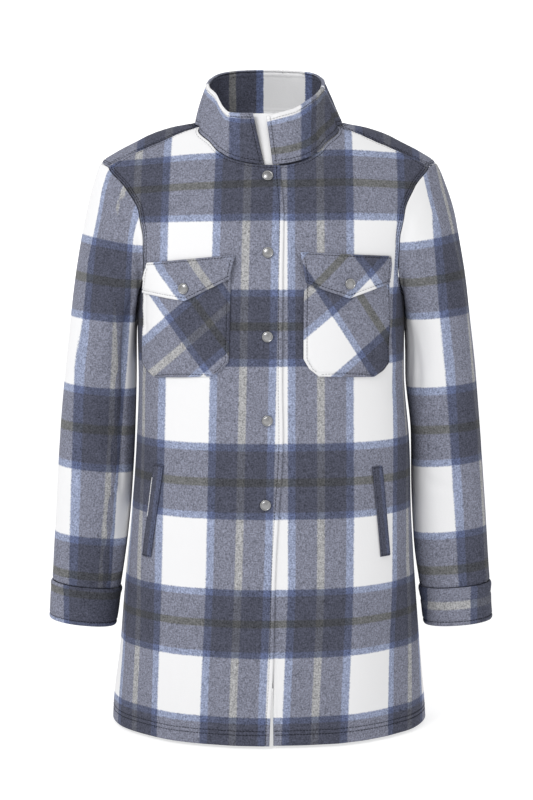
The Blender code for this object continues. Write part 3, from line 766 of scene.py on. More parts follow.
# ---------------------------------------------------------------- shader graphs
class Expr:
    """Number socket of a shader graph that takes part in Python sums."""

    def __init__(self, graph: "Graph", socket: Any) -> None:
        """Keep the graph and the socket or number."""
        self.graph = graph
        self.socket = socket

    def math(self, operation: str, *others: Any, clamp: bool = False) -> "Expr":
        """One Math node of this value and others."""
        return self.graph.math(operation, self, *others, clamp=clamp)

    def __add__(self, other: Any) -> "Expr":
        """Sum."""
        return self.math("ADD", other)

    __radd__ = __add__

    def __sub__(self, other: Any) -> "Expr":
        """Difference."""
        return self.math("SUBTRACT", other)

    def __rsub__(self, other: Any) -> "Expr":
        """Difference from a number."""
        return self.graph.math("SUBTRACT", other, self)

    def __mul__(self, other: Any) -> "Expr":
        """Product."""
        return self.math("MULTIPLY", other)

    __rmul__ = __mul__

    def __truediv__(self, other: Any) -> "Expr":
        """Quotient."""
        return self.math("DIVIDE", other)


class Graph:
    """Node tree of one material."""

    def __init__(self, material: bpy.types.Material) -> None:
        """Clear the material's nodes and keep its shader and output.

        Args:
            material: Material to draw.
        """
        material.use_nodes = True
        self.tree = material.node_tree
        self.tree.nodes.clear()
        self.shader = self.node("ShaderNodeBsdfPrincipled")
        output = self.node("ShaderNodeOutputMaterial")
        self.tree.links.new(self.shader.outputs["BSDF"], output.inputs["Surface"])

    def node(self, kind: str, settings: dict[str, Any] | None = None,
             inputs: dict[Any, Any] | None = None) -> bpy.types.Node:
        """New node.

        Args:
            kind: Type of the node.
            settings: Its properties, set first.
            inputs: Values or links of its sockets, by name or number.

        Returns:
            The node.
        """
        made = self.tree.nodes.new(kind)
        for key, value in (settings or {}).items():
            setattr(made, key, value)
        for key, value in (inputs or {}).items():
            self.feed(made.inputs[key], value)
        return made

    def feed(self, socket: bpy.types.NodeSocket, value: Any) -> None:
        """Link or set one socket.

        Args:
            socket: Input of a node.
            value: Number, colour, socket or expression.
        """
        value = value.socket if isinstance(value, Expr) else value
        if isinstance(value, bpy.types.NodeSocket):
            self.tree.links.new(value, socket)
        else:
            socket.default_value = value

    def surface(self, values: dict[str, Any]) -> None:
        """Feed the shader's own sockets by name."""
        for key, value in values.items():
            self.feed(self.shader.inputs[key], value)

    def math(self, operation: str, *values: Any, clamp: bool = False) -> Expr:
        """One Math node."""
        made = self.node("ShaderNodeMath", {"operation": operation, "use_clamp": clamp}, dict(enumerate(values)))
        return Expr(self, made.outputs[0])

    def mix(self, factor: Any, a: Any, b: Any, blend: str = "MIX") -> bpy.types.NodeSocket:
        """Colour between or of two colours.

        Args:
            factor: Share of the second colour.
            a: First colour.
            b: Second colour.
            blend: Blend of the node.

        Returns:
            The colour.
        """
        settings = {"data_type": "RGBA", "blend_type": blend}
        made = self.node("ShaderNodeMix", settings, {0: factor, 6: a, 7: b})
        return made.outputs[2]

    def vector(self, operation: str, first: Any, second: Any) -> bpy.types.NodeSocket:
        """Vector Math node of two vectors, or of a vector and a scale."""
        socket = "Scale" if operation == "SCALE" else 1
        return self.node("ShaderNodeVectorMath", {"operation": operation}, {0: first, socket: second}).outputs[0]

    def noise(self, vector: Any, scale: float, detail: float = 2.0) -> Expr:
        """Noise between 0 and 1.

        Args:
            vector: Places.
            scale: Scale of the noise.
            detail: Its octaves.

        Returns:
            The noise.
        """
        made = self.node("ShaderNodeTexNoise", {"noise_dimensions": "3D"},
                         {"Vector": vector, "Scale": scale, "Detail": detail})
        return Expr(self, made.outputs[0])

    def bump(self, height: Any, distance: float, strength: float = 1.0) -> None:
        """Feed the shader's normal from a height."""
        made = self.node("ShaderNodeBump", None, {"Height": height, "Distance": distance, "Strength": strength})
        self.surface({"Normal": made.outputs[0]})


def rgba(colour: Colour) -> tuple[float, float, float, float]:
    """Colour with full opacity."""
    return (*colour, 1.0)


WHITE: Colour = (0.86, 0.86, 0.865)
BLUE: Colour = (0.285, 0.325, 0.455)
GREY: Colour = (0.205, 0.214, 0.272)
BEIGE: Colour = (0.37, 0.37, 0.375)
OLIVE: Colour = (0.145, 0.147, 0.148)


@dataclass(frozen=True)
class Sett:
    """Mirrored order of a check's stripes from the middle of its accent stripe, in millimetres."""

    period: float
    edges: tuple[float, float, float]
    colours: tuple[Colour, Colour, Colour, Colour]


WARP = Sett(138.4, (4.7, 31.7, 41.2), (BEIGE, GREY, BLUE, WHITE))
WEFT = Sett(190.6, (5.2, 38.2, 47.4), (OLIVE, GREY, BLUE, WHITE))


@dataclass(frozen=True)
class PlaidFinish:
    """Brushed plaid cloth: warp times weft with a heathered nap, darkened by painted shade when tone is below 1."""

    inner: bool = False
    fuzz: float = 0.8
    sheen: float = 0.02
    mottle: float = 0.62
    # Share of the colour kept in the dark checks; below 1 it is painted shade, as on the stitch threads, where it
    # stands for the shade in their grooves.
    tone: float = 1.0

    def stripes(self, graph: Graph, sett: Sett, place: Expr) -> bpy.types.NodeSocket:
        """Thread colour across one direction of the check.

        Args:
            graph: Graph of the cloth.
            sett: Order of the stripes.
            place: Pattern place across them.

        Returns:
            The colour.
        """
        away = place.math("PINGPONG", sett.period / 2)
        colour: Any = rgba(sett.colours[0])
        for edge, after in zip(sett.edges, sett.colours[1:]):
            share = ((away - (edge - self.fuzz)) / (2 * self.fuzz)).math("MULTIPLY", 1.0, clamp=True)
            colour = graph.mix(share, colour, rgba(after))
        return colour

    def material(self, name: str) -> bpy.types.Material:
        """Make the cloth's material.

        Args:
            name: Name of the material.

        Returns:
            The material.
        """
        material = plain_material(name)
        graph = Graph(material)
        uv = graph.node("ShaderNodeUVMap", {"uv_map": "cloth"}).outputs[0]
        parts = graph.node("ShaderNodeSeparateXYZ", None, {0: uv})
        across, along = (Expr(graph, parts.outputs[k]) * UV_SPAN for k in (0, 1))
        place = graph.vector("SCALE", graph.node("ShaderNodeTexCoord").outputs["Object"], 10.0)
        fuzz = graph.noise(place, 60.0, 3.0)
        shift = (fuzz - 0.5) * 3.0
        warp = self.stripes(graph, WARP, across + shift)
        weft = warp if self.inner else self.stripes(graph, WEFT, along - shift)
        stretch_warp = graph.vector("MULTIPLY", place, (80.0, 80.0, 22.0))
        stretch_weft = graph.vector("MULTIPLY", place, (22.0, 22.0, 80.0))
        flecks = graph.noise(stretch_warp, 1.0, 3.0) * 0.5 + graph.noise(stretch_weft, 1.0, 3.0) * 0.5
        cloud = graph.noise(place, 6.0, 2.0)
        both = graph.mix(1.0, warp, weft, "MULTIPLY")
        gone_warp = graph.mix(1.0, rgba((1, 1, 1)), warp, "SUBTRACT")
        gone_weft = graph.mix(1.0, rgba((1, 1, 1)), weft, "SUBTRACT")
        haze = graph.mix(1.0, gone_warp, gone_weft, "MULTIPLY")
        haze = graph.mix(1.0, haze, rgba((0.030, 0.031, 0.034)), "MULTIPLY")
        base = graph.mix(1.0, both, haze, "ADD")
        salt = graph.noise(place, 52.0, 2.0)
        # Mottle of the nap, times tone, which below 1 is painted shade.
        level = (1.0 + (flecks - 0.5) * (self.mottle * 2.4) + (salt - 0.5) * (self.mottle * 3.1)
                 + (cloud - 0.5) * 0.20).math("MAXIMUM", 0.3) * self.tone
        tone = graph.node("ShaderNodeCombineXYZ", None, {0: level, 1: level, 2: level}).outputs[0]
        mottled = graph.vector("MULTIPLY", base, tone)
        # Pale checks lose the mottle and take only half of the painted shade of tone.
        light = graph.node("ShaderNodeSeparateColor", None, {0: both}).outputs[0]
        paleness = ((Expr(graph, light) - 0.32) / 0.3).math("MULTIPLY", 1.0, clamp=True)
        pale = graph.vector("SCALE", base, 0.5 + 0.5 * self.tone)
        colour = graph.mix(paleness, mottled, pale)
        graph.surface({"Base Color": colour, "Roughness": 0.95, "Specular IOR Level": 0.15,
                       "Sheen Weight": self.sheen, "Sheen Roughness": 0.6})
        graph.bump(flecks * 0.7 + fuzz * 0.5, 0.0006, 0.32)
        return material


@dataclass(frozen=True)
class PaleFinish:
    """Plain pale cloth with a fine weave."""

    colour: Colour = (0.80, 0.80, 0.81)
    roughness: float = 0.9

    def material(self, name: str) -> bpy.types.Material:
        """Make the strip's material.

        Args:
            name: Name of the material.

        Returns:
            The material.
        """
        graph = Graph(plain_material(name))
        uv = graph.node("ShaderNodeUVMap", {"uv_map": "cloth"}).outputs[0]
        weave = graph.noise(uv, 120.0, 2.0)
        share = (weave - 0.35).math("MULTIPLY", 1.5, clamp=True)
        darker = tuple(c * 0.88 for c in self.colour)
        graph.surface({"Base Color": graph.mix(share, rgba(darker), rgba(self.colour)), "Roughness": self.roughness})
        graph.bump(weave, 0.0004, 0.5)
        return bpy.data.materials[name]


@dataclass(frozen=True)
class SnapFinish:
    """Brushed grey metal of the snaps."""

    colour: Colour = (0.34, 0.34, 0.345)
    roughness: float = 0.36

    def material(self, name: str) -> bpy.types.Material:
        """Make the metal's material.

        Args:
            name: Name of the material.

        Returns:
            The material.
        """
        graph = Graph(plain_material(name))
        place = graph.node("ShaderNodeTexCoord").outputs["Object"]
        brushed = graph.noise(place, 1400.0, 2.0)
        darker = tuple(c * 0.8 for c in self.colour)
        graph.surface({"Base Color": graph.mix(brushed, rgba(darker), rgba(self.colour)), "Metallic": 1.0,
                       "Roughness": self.roughness + (brushed - 0.5) * 0.16})
        return bpy.data.materials[name]


@dataclass
class Wardrobe:
    """Every material of the shacket."""

    plaid: bpy.types.Material
    plaid_inside: bpy.types.Material
    bias: bpy.types.Material
    pale: bpy.types.Material
    # Thread of the stitches: the cloth's own check, darkened by painted shade of the stitch grooves.
    thread: bpy.types.Material
    metal: bpy.types.Material

    @classmethod
    def make(cls) -> "Wardrobe":
        """Make the materials once.

        Returns:
            The wardrobe.
        """
        return cls(
            PlaidFinish().material("plaid_face"),
            PlaidFinish(inner=True).material("plaid_inside"),
            PlaidFinish().material("bias_plaid_face"),
            PaleFinish().material("pale_face"),
            # The thread takes the check of the cloth under it, darkened to 0.3 (0.65 on pale checks) as painted shade
            # standing for the shade in the stitch grooves.
            PlaidFinish(tone=0.3, mottle=0.1).material("thread_painted_shade_face"),
            SnapFinish().material("metal_face"),
        )


def declare(piece: bpy.types.Object, grid: Grid, node: str,
            stitches: bpy.types.Object | None = None) -> None:
    """Hang a cloth piece and its stitches on the frame's root, hide the CAD part that it replaces, and report its
    size.

    Args:
        piece: The cloth object.
        grid: Its outer face, from which its flat size is measured.
        node: CAD node it replaces.
        stitches: Its stitches, if it has any.
    """
    width, length, area = grid.flat_size()
    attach(piece, "root")
    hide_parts(node)
    if stitches is not None:
        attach(stitches, "root")
    LOG.info("%s: %d points, flat %.3f x %.3f m, %.4f m2", piece.name, grid.points.size // 3, width, length, area)


# ---------------------------------------------------------------- pattern of the body
BODY_WEFT = Curve(
    (-790, -785, -741, -666.2, -622.8, -579.5, -491.7, -445.5, -396.9, -301.2, -251.6, -206.2, -123.5,
     -79.6, -39.8, 20),
    (-767.7, -762.4, -715, -619.2, -571.8, -524.4, -428.6, -381.2, -333.8, -238, -190.6, -143.2, -47.4,
     0, 47.4, 118),
)
BEIGE_RIGHT = Curve((-777, -728, -557, -147, 0), (-45.5, -44.3, -37.3, -27.9, -24))
BEIGE_LEFT = Curve((-777, -719, -557, -147, 0), (57.5, 59.7, 65.3, 64.4, 64))
BLOCK_DROP = Curve((-190, -175, -86, 89, 169, 190), (8.5, 7.7, 0, -5.3, -1.2, 0))
PLAIN_REACH = 145.0
BACK_BEIGE = -126.0
SHOULDER_WEFT = 10.0
SHOULDER_SLOPE = 0.4
BACK_SLOPE = 1.1


def body_pattern(turn: Array, z: Array, middle: Array) -> Array:
    """Pattern places of the body's cloth.

    Args:
        turn: Turns of the points.
        z: Heights of the points.
        middle: Sideways place of the accent stripe at each height.

    Returns:
        Pattern across and along, in millimetres.
    """
    x = FORM.point(turn, z)[..., 0]
    across = x - middle + FORM.arc_past(turn, z, PLAIN_REACH) * smooth_step(-60, -150, z)
    dropped = z + BLOCK_DROP(x) * smooth_step(-170, -50, z) * (turn < 0)
    return stacked(across, BODY_WEFT(dropped))


def laid_pattern(origin: tuple[float, float], lines: float, pale_side: float, across: float) -> Placing:
    """Pattern coordinate that runs square to lines drawn on the front.

    Args:
        origin: Sideways place and height at which the coordinate is known.
        lines: Angle of the stripe's lines above the sideways axis, in degrees.
        pale_side: Change of the coordinate per millimetre, to the left of the lines' direction.
        across: Value at the origin.

    Returns:
        Function of the sideways places and heights.
    """
    angle = math.radians(lines)
    normal = -math.sin(angle), math.cos(angle)

    def value(x: Array, z: Array) -> Array:
        """Coordinate at places on the front."""
        return across + pale_side * (normal[0] * (x - origin[0]) + normal[1] * (z - origin[1]))

    return value


# ---------------------------------------------------------------- body panels
EDGE_STEPS = (0.7, 1.5, 2.4, 3.3, 4.2, 5.1, 6.0, 7.0, 8.0, 9.2, 11.0, 14.0)
HEM_STEPS = (0.7, 1.6, 3.0, 5.5, 8.5, 11.5, 13.0, 14.2, 15.5, 17.2, 18.7, 20.0, 21.5, 24.0)
TOP_STEPS = (0.7, 1.5, 2.5, 3.5, 4.5, 5.5, 7.0, 9.0)
FRONT_NECK_SHARE = 0.45225
BACK_NECK_SHARE = 0.25
HEM_LINES = (14.0, 19.5)


def pulled_from_seams(points: Array, first: bool, last: bool, top: float) -> Array:
    """Draw the chosen edges of a grid back from their seams.

    Args:
        points: Points of the grid.
        first: Whether the first column is a seam.
        last: Whether the last one is.
        top: Distance at the last row.

    Returns:
        The moved points.
    """
    points = points.copy()
    if first:
        points[:, 0] += unit(points[:, 1] - points[:, 0]) * SEAM_HALF_GAP
    if last:
        points[:, -1] += unit(points[:, -2] - points[:, -1]) * SEAM_HALF_GAP
    points[-1] += unit(points[-2] - points[-1]) * top
    return points


@dataclass(frozen=True)
class Front:
    """One front from its side seam and armhole to its edge; the wearer's right one laps over."""

    hand: Hand
    wall: float = 2.2
    step: float = 4.4

    @property
    def reach(self) -> str:
        """Column of the edge table."""
        return "over" if self.hand is Hand.RIGHT else "under"

    def places(self) -> tuple[Array, Array, int]:
        """Turns and heights of the grid, and the row of the underarm.

        Returns:
            Turns, heights and the row's number.
        """
        left_part = fine_shares(150, self.step, EDGE_STEPS)[:-1] * FRONT_NECK_SHARE
        right_part = FRONT_NECK_SHARE + (1 - FRONT_NECK_SHARE) * fine_shares(130, self.step, (), EDGE_STEPS)
        u = np.concatenate([left_part, right_part])
        low = HEM_Z + (UNDERARM_Z - HEM_Z) * fine_shares(552, 5.0, HEM_STEPS)
        across, z_low = np.meshgrid(u, low)
        turn_low = across * FORM.edge_turn(FRONT_EDGES.read(self.reach, z_low), z_low)

        def edge(z: Array) -> Array:
            """Turn of the front's edge at heights."""
            return FORM.edge_turn(FRONT_EDGES.read(self.reach, z), z)

        def top(share: Array) -> tuple[Array, Array]:
            """Shoulder seam, then the neck.

            Args:
                share: Shares from the armhole to the front's edge.

            Returns:
                Turns and heights.
            """
            shoulder = SHOULDER_LINE.at(np.minimum(share / FRONT_NECK_SHARE, 1))
            own = np.clip((share - FRONT_NECK_SHARE) / (1 - FRONT_NECK_SHARE), 0, 1)
            turn, z = NECK_FRONT_LINE.at(own)
            near = smooth_step(0.9, 1.0, own)
            turn = turn * (1 - near) + edge(z) * near
            on_shoulder = share < FRONT_NECK_SHARE
            return np.where(on_shoulder, shoulder[0], turn), np.where(on_shoulder, shoulder[1], z)

        top_z = float(top(np.ones(1))[1][0])

        def bottom(share: Array) -> tuple[Array, Array]:
            """Level line at the underarm."""
            return share * edge(np.full(share.shape, UNDERARM_Z)), np.full(share.shape, UNDERARM_Z)

        def right(share: Array) -> tuple[Array, Array]:
            """The front's edge."""
            z = UNDERARM_Z + (top_z - UNDERARM_Z) * share
            return edge(z), z

        v = fine_shares(178, 4.4, (), TOP_STEPS)[1:]
        turn_high, z_high = coons(bottom, top, FRONT_ARM_LINE.at, right, u, v)
        return np.concatenate([turn_low, turn_high]), np.concatenate([z_low, z_high]), len(low)

    def grid(self) -> tuple[Grid, int]:
        """Outer face with its relief, and the row of the underarm.

        Returns:
            The grid and the row's number.
        """
        turn, z, underarm = self.places()
        middle = BEIGE_RIGHT(z)
        if self.hand is Hand.LEFT:
            turn = 180 - turn
            turn = (turn + 180) % 360 - 180
            middle = BEIGE_LEFT(z)
        x = FORM.point(turn, z)[..., 0]
        shift = LAP_OUT[self.hand] * (1 - smooth_step(*LAP_FADE, np.abs(x)))
        grid = Grid(FORM.cloth(turn, z, shift), body_pattern(turn, z, middle), flip=self.hand is Hand.LEFT)
        across, along = grid.run_across(), grid.run_along()
        side, edge = across, across[:, -1:] - across
        hem, top = along, along[-1:] - along
        above = smooth_step(UNDERARM_Z - 4, UNDERARM_Z + 14, z)
        height = seam_dip(side) + seam_dip(top, 0.8, 1.2) - 0.9 * bell(edge, 1.1) - 1.0 * bell(hem, 1.1)
        for line in SEAM_LINES:
            height += above * stitched(side, line, along, 1.1 + self.hand.sign)
        height += stitched(edge, 5.4, along, 2.2, 0.45, 0.18)
        height += stitched(top, 4.2, across, 3.3, 0.4, 0.22)
        for line in HEM_LINES:
            height += stitched(hem, line, across, 4.4, 0.4, 0.16)
        height += 0.35 * ripple(across, 46, 0.7 + self.hand.sign) * bell(hem, 26)
        grid.points = pulled_from_seams(grid.raised(height).points, True, False, SHOULDER_GAP)
        return grid, underarm

    def build(self, wardrobe: Wardrobe) -> None:
        """Args:
            wardrobe: Materials of the shacket.
        """
        name = f"front_{self.hand.value}"
        grid, underarm = self.grid()
        piece = cloth_object(f"{name}_cloth", grid, self.wall, [wardrobe.plaid])
        lines = [grid.line("left", d, underarm) for d in SEAM_LINES]
        lines += [grid.line("low", d) for d in HEM_LINES]
        lines.append(grid.line("high", 4.2))
        if self.hand is Hand.RIGHT:
            lines.append(grid.line("right", 5.4))
        stitches = StitchRow().build(f"{name}_stitches", lines, wardrobe.thread)
        declare(piece, grid, name, stitches)


@dataclass(frozen=True)
class Back:
    """Back in one piece, from its hem up over both shoulders."""

    wall: float = 2.2

    def places(self) -> tuple[Array, Array, int]:
        """Turns and heights of the grid, and the row of the underarm.

        Returns:
            Turns, heights and the row's number.
        """
        outer = fine_shares(150, 4.8, EDGE_STEPS) * BACK_NECK_SHARE
        inner = BACK_NECK_SHARE + (0.5 - BACK_NECK_SHARE) * fine_shares(130, 4.8)
        half = np.concatenate([outer, inner[1:]])
        u = np.concatenate([half, 1 - half[:-1][::-1]])
        low = HEM_Z + (UNDERARM_Z - HEM_Z) * fine_shares(552, 5.2, HEM_STEPS)
        across, z_low = np.meshgrid(u, low)

        def top(share: Array) -> tuple[Array, Array]:
            """Shoulder seam, neck, and the other shoulder seam.

            Args:
                share: Shares from one armhole to the other.

            Returns:
                Turns and heights.
            """
            own = np.minimum(share, 1 - share)
            shoulder = SHOULDER_LINE.at(np.minimum(own / BACK_NECK_SHARE, 1))
            neck = NECK_BACK_LINE.at(np.clip((own - BACK_NECK_SHARE) / (0.5 - BACK_NECK_SHARE), 0, 1))
            outside = own < BACK_NECK_SHARE
            turn = np.where(outside, shoulder[0], neck[0])
            z = np.where(outside, shoulder[1], neck[1])
            return np.where(share > 0.5, 180 - turn, turn), z

        def bottom(share: Array) -> tuple[Array, Array]:
            """Level line at the underarm."""
            return 180 * share, np.full(share.shape, UNDERARM_Z)

        def right(share: Array) -> tuple[Array, Array]:
            """Armhole of the other side."""
            turn, z = BACK_ARM_LINE.at(share)
            return 180 - turn, z

        v = fine_shares(230, 4.6, (), TOP_STEPS)[1:]
        turn_high, z_high = coons(bottom, top, BACK_ARM_LINE.at, right, u, v)
        return np.concatenate([180 * across, turn_high]), np.concatenate([z_low, z_high]), len(low)

    def build(self, wardrobe: Wardrobe) -> None:
        """Args:
            wardrobe: Materials of the shacket.
        """
        turn, z, underarm = self.places()
        pattern = body_pattern(turn, z, np.full(z.shape, BACK_BEIGE))
        on_shoulder = smooth_step(-150, -60, z)
        behind = smooth_step(2, 26, np.minimum(turn, 180 - turn))
        raised = SHOULDER_WEFT + (SHOULDER_SLOPE + BACK_SLOPE * behind) * (z + 60)
        pattern[..., 1] += (raised - pattern[..., 1]) * on_shoulder
        grid = Grid(FORM.cloth(turn, z), pattern, flip=True)
        across, along = grid.run_across(), grid.run_along()
        near, far = across, across[:, -1:] - across
        hem, top = along, along[-1:] - along
        above = smooth_step(UNDERARM_Z - 4, UNDERARM_Z + 14, z)
        height = seam_dip(near) + seam_dip(far) + seam_dip(top, 1.3) - 1.0 * bell(hem, 1.1)
        for line in SEAM_LINES:
            height += above * (stitched(near, line, along, 5.1) + stitched(far, line, along, 6.1))
            height += stitched(top, line, across, 7.7, 0.4, 0.25)
        for line in HEM_LINES:
            height += stitched(hem, line, across, 8.8, 0.4, 0.16)
        grid.points = pulled_from_seams(grid.raised(height).points, True, True, SEAM_HALF_GAP)
        piece = cloth_object("back_cloth", grid, self.wall, [wardrobe.plaid])
        lines = [grid.line(side, d, underarm) for side in ("left", "right") for d in SEAM_LINES]
        lines += [grid.line("low", d) for d in HEM_LINES]
        lines += [grid.line("high", d) for d in SEAM_LINES]
        stitches = StitchRow().build("back_stitches", lines, wardrobe.thread)
        declare(piece, grid, "back", stitches)


# ---------------------------------------------------------------- sleeves and cuffs
SLEEVE_TABLE = Table(("z", "inner_right", "outer_right", "inner_left", "outer_left", "front", "back"), (
    (-655, 202, 287.5, 206, 293.5, 37, 39),
    (-603, 194, 283.5, 199, 290.5, 38, 43),
    (-542, 185.2, 280, 190.3, 286, 40, 52),
    (-474, 178.2, 276, 187, 281.5, 42, 63),
    (-400, 173.7, 271, 185.5, 276, 46, 73),
    (-318, 171.2, 263, 178, 268.5, 52, 82),
    (-248, 172.2, 255, 178.3, 260, 60, 85),
    (-190, 173, 248, 179, 253, 66, 83),
    (-145, 174, 241, 180, 246, 67, 78),
    (-117, 175, 236, 180, 241, 65, 74),
    (-80, 176, 227, 181, 229.5, 60, 66),
    (-50, 176, 216, 181, 216, 52, 60),
))
SLEEVE_FOLDS = (
    Fold(52, -190, 17, 85, -9), Fold(84, -210, 18, 90, 3), Fold(68, -395, 20, 30, -2.5),
    Fold(120, -425, 26, 24, -2), Fold(95, -560, 22, 26, -2), Fold(300, -200, 18, 90, -8),
    Fold(262, -220, 20, 90, 2.5), Fold(268, -400, 26, 26, -2.5), Fold(250, -550, 24, 28, -2),
)
SLEEVE_CREASES = (
    Crease(48, -250, 44, -350, 5, -2.0), Crease(60, -330, 96, -352, 6, -1.5),
    Crease(44, -392, 100, -372, 6, -1.8), Crease(120, -398, 165, -415, 7, -1.4),
    Crease(50, -446, 104, -462, 7, -1.6), Crease(96, -505, 150, -488, 7, -1.3),
    Crease(40, -535, 86, -552, 6, -1.5), Crease(100, -578, 106, -548, 5, -1.2),
    Crease(70, -582, 64, -552, 5, -1.1), Crease(138, -580, 146, -552, 5, -1.1),
    Crease(236, -370, 300, -392, 7, -1.8), Crease(216, -440, 280, -424, 7, -1.6),
    Crease(230, -505, 296, -520, 7, -1.6), Crease(250, -575, 256, -545, 6, -1.2),
    Crease(206, -576, 214, -548, 6, -1.1), Crease(300, -574, 292, -544, 6, -1.2),
)
SLEEVE_SCALE = 0.72
DEEP_CREASES = {
    Hand.RIGHT: (Crease(60, -105, 48, -290, 4.2, -5.5), Crease(48, -280, 46, -470, 3.5, -2.6),
                 Crease(72, -130, 66, -230, 6, 1.6)),
    Hand.LEFT: (Crease(66, -90, 30, -170, 5, -2.2), Crease(40, -200, 26, -330, 5, -2.6),
                Crease(90, -110, 60, -210, 7, -1.6)),
}
SLEEVE_ROUND = 2.15
SLEEVE_BLEND_END = 0.34
CUFF_SLOPES = {Hand.RIGHT: 0.125, Hand.LEFT: 0.095}
CUFF_HALF_WIDTH = 43.0
CUFF_PROUD = 1.6

# Warp of each sleeve's front: sideways distance from the middle and pattern place, by height
SLEEVE_WARP = {
    Hand.RIGHT: (
        (-60, ((150, 34), (180, 20), (190, 9), (197, 16), (203, 31.7), (212, 41.2), (235, 66))),
        (-78, ((150, 36), (168, 20), (175, 4.7), (179, 1), (183.5, 4.7), (208, 31.7), (218, 41.2), (237, 62))),
        (-92, ((150, 40), (172, 22), (180, 4.7), (183.5, 1), (187.5, 4.7), (211, 31.7), (221, 41.2), (238, 62))),
        (-106, ((150, 46), (168, 31.7), (184, 12), (187, 4.7), (189.5, 2), (191.8, 4.7), (213, 31.7), (223, 41.2),
                (239, 61))),
        (-144, ((150, 62), (166, 46), (169.4, 41.2), (176, 31.7), (188, 14), (191.5, 8), (217, 31.7),
                (226, 41.2), (240, 60))),
        (-311, ((150, 74), (167.7, 57), (181.4, 41.2), (188.5, 33), (190.5, 10), (192, 3), (195, 1),
                (200.1, 4.7), (234, 31.7), (248, 41.2), (262, 62))),
        (-392, ((150, 77), (172.8, 57.5), (188.5, 41.2), (194.2, 33), (196.2, 8), (198, 2.5), (200.5, 1),
                (205.3, 4.7), (238.1, 31.7), (251.5, 41.2), (269, 64))),
        (-473, ((150, 80), (178, 58), (195.7, 41.2), (200, 33), (202, 6), (204, 2), (206, 1), (210.6, 4.7),
                (242.2, 31.7), (255, 41.2), (276, 66))),
        (-535, ((150, 85), (181, 60), (200.3, 41.2), (205.5, 32.5), (208, 5.5), (211.5, 1), (215.8, 4.7),
                (245, 31.7), (257, 41.2), (280, 65))),
        (-597, ((150, 90), (184, 62), (205, 41.2), (211, 31.7), (214, 5), (217, 1), (221, 4.7), (248, 31.7),
                (259, 41.2), (284, 64))),
    ),
    Hand.LEFT: (
        (-60, ((150, 110), (172, 80), (204, 41.2), (215, 31.7), (232, 10))),
        (-144, ((150, 110), (172, 80), (207, 41.2), (218, 31.7), (240, 11))),
        (-225, ((150, 110), (178, 82), (214, 41.2), (226, 31.7), (254, 10))),
        (-311, ((150, 110), (178, 82), (224, 41.2), (237, 31.7), (260, 9))),
        (-473, ((150, 115), (187, 90), (237.5, 41.2), (249.5, 31.7), (278, 7))),
        (-597, ((150, 120), (199, 92), (246.3, 41.2), (257.3, 31.7), (284, 7))),
    ),
}
SLEEVE_WEFT = {
    Hand.RIGHT: Curve((-655, -597, -579, -527.7, -440.9, -386.6, -332.6, -246.9, -194.8, -143.6, -60, 0),
                      (-455, -400, -381.2, -333.8, -238, -190.6, -143.2, -47.4, 0, 47.4, 130, 190)),
    Hand.LEFT: Curve((-655, -597, -570, -519.7, -434, -386.6, -331.3, -243.1, -193.5, -141.7, -60, 0),
                     (-455, -404, -381.2, -333.8, -238, -190.6, -143.2, -47.4, 0, 47.4, 130, 190)),
}


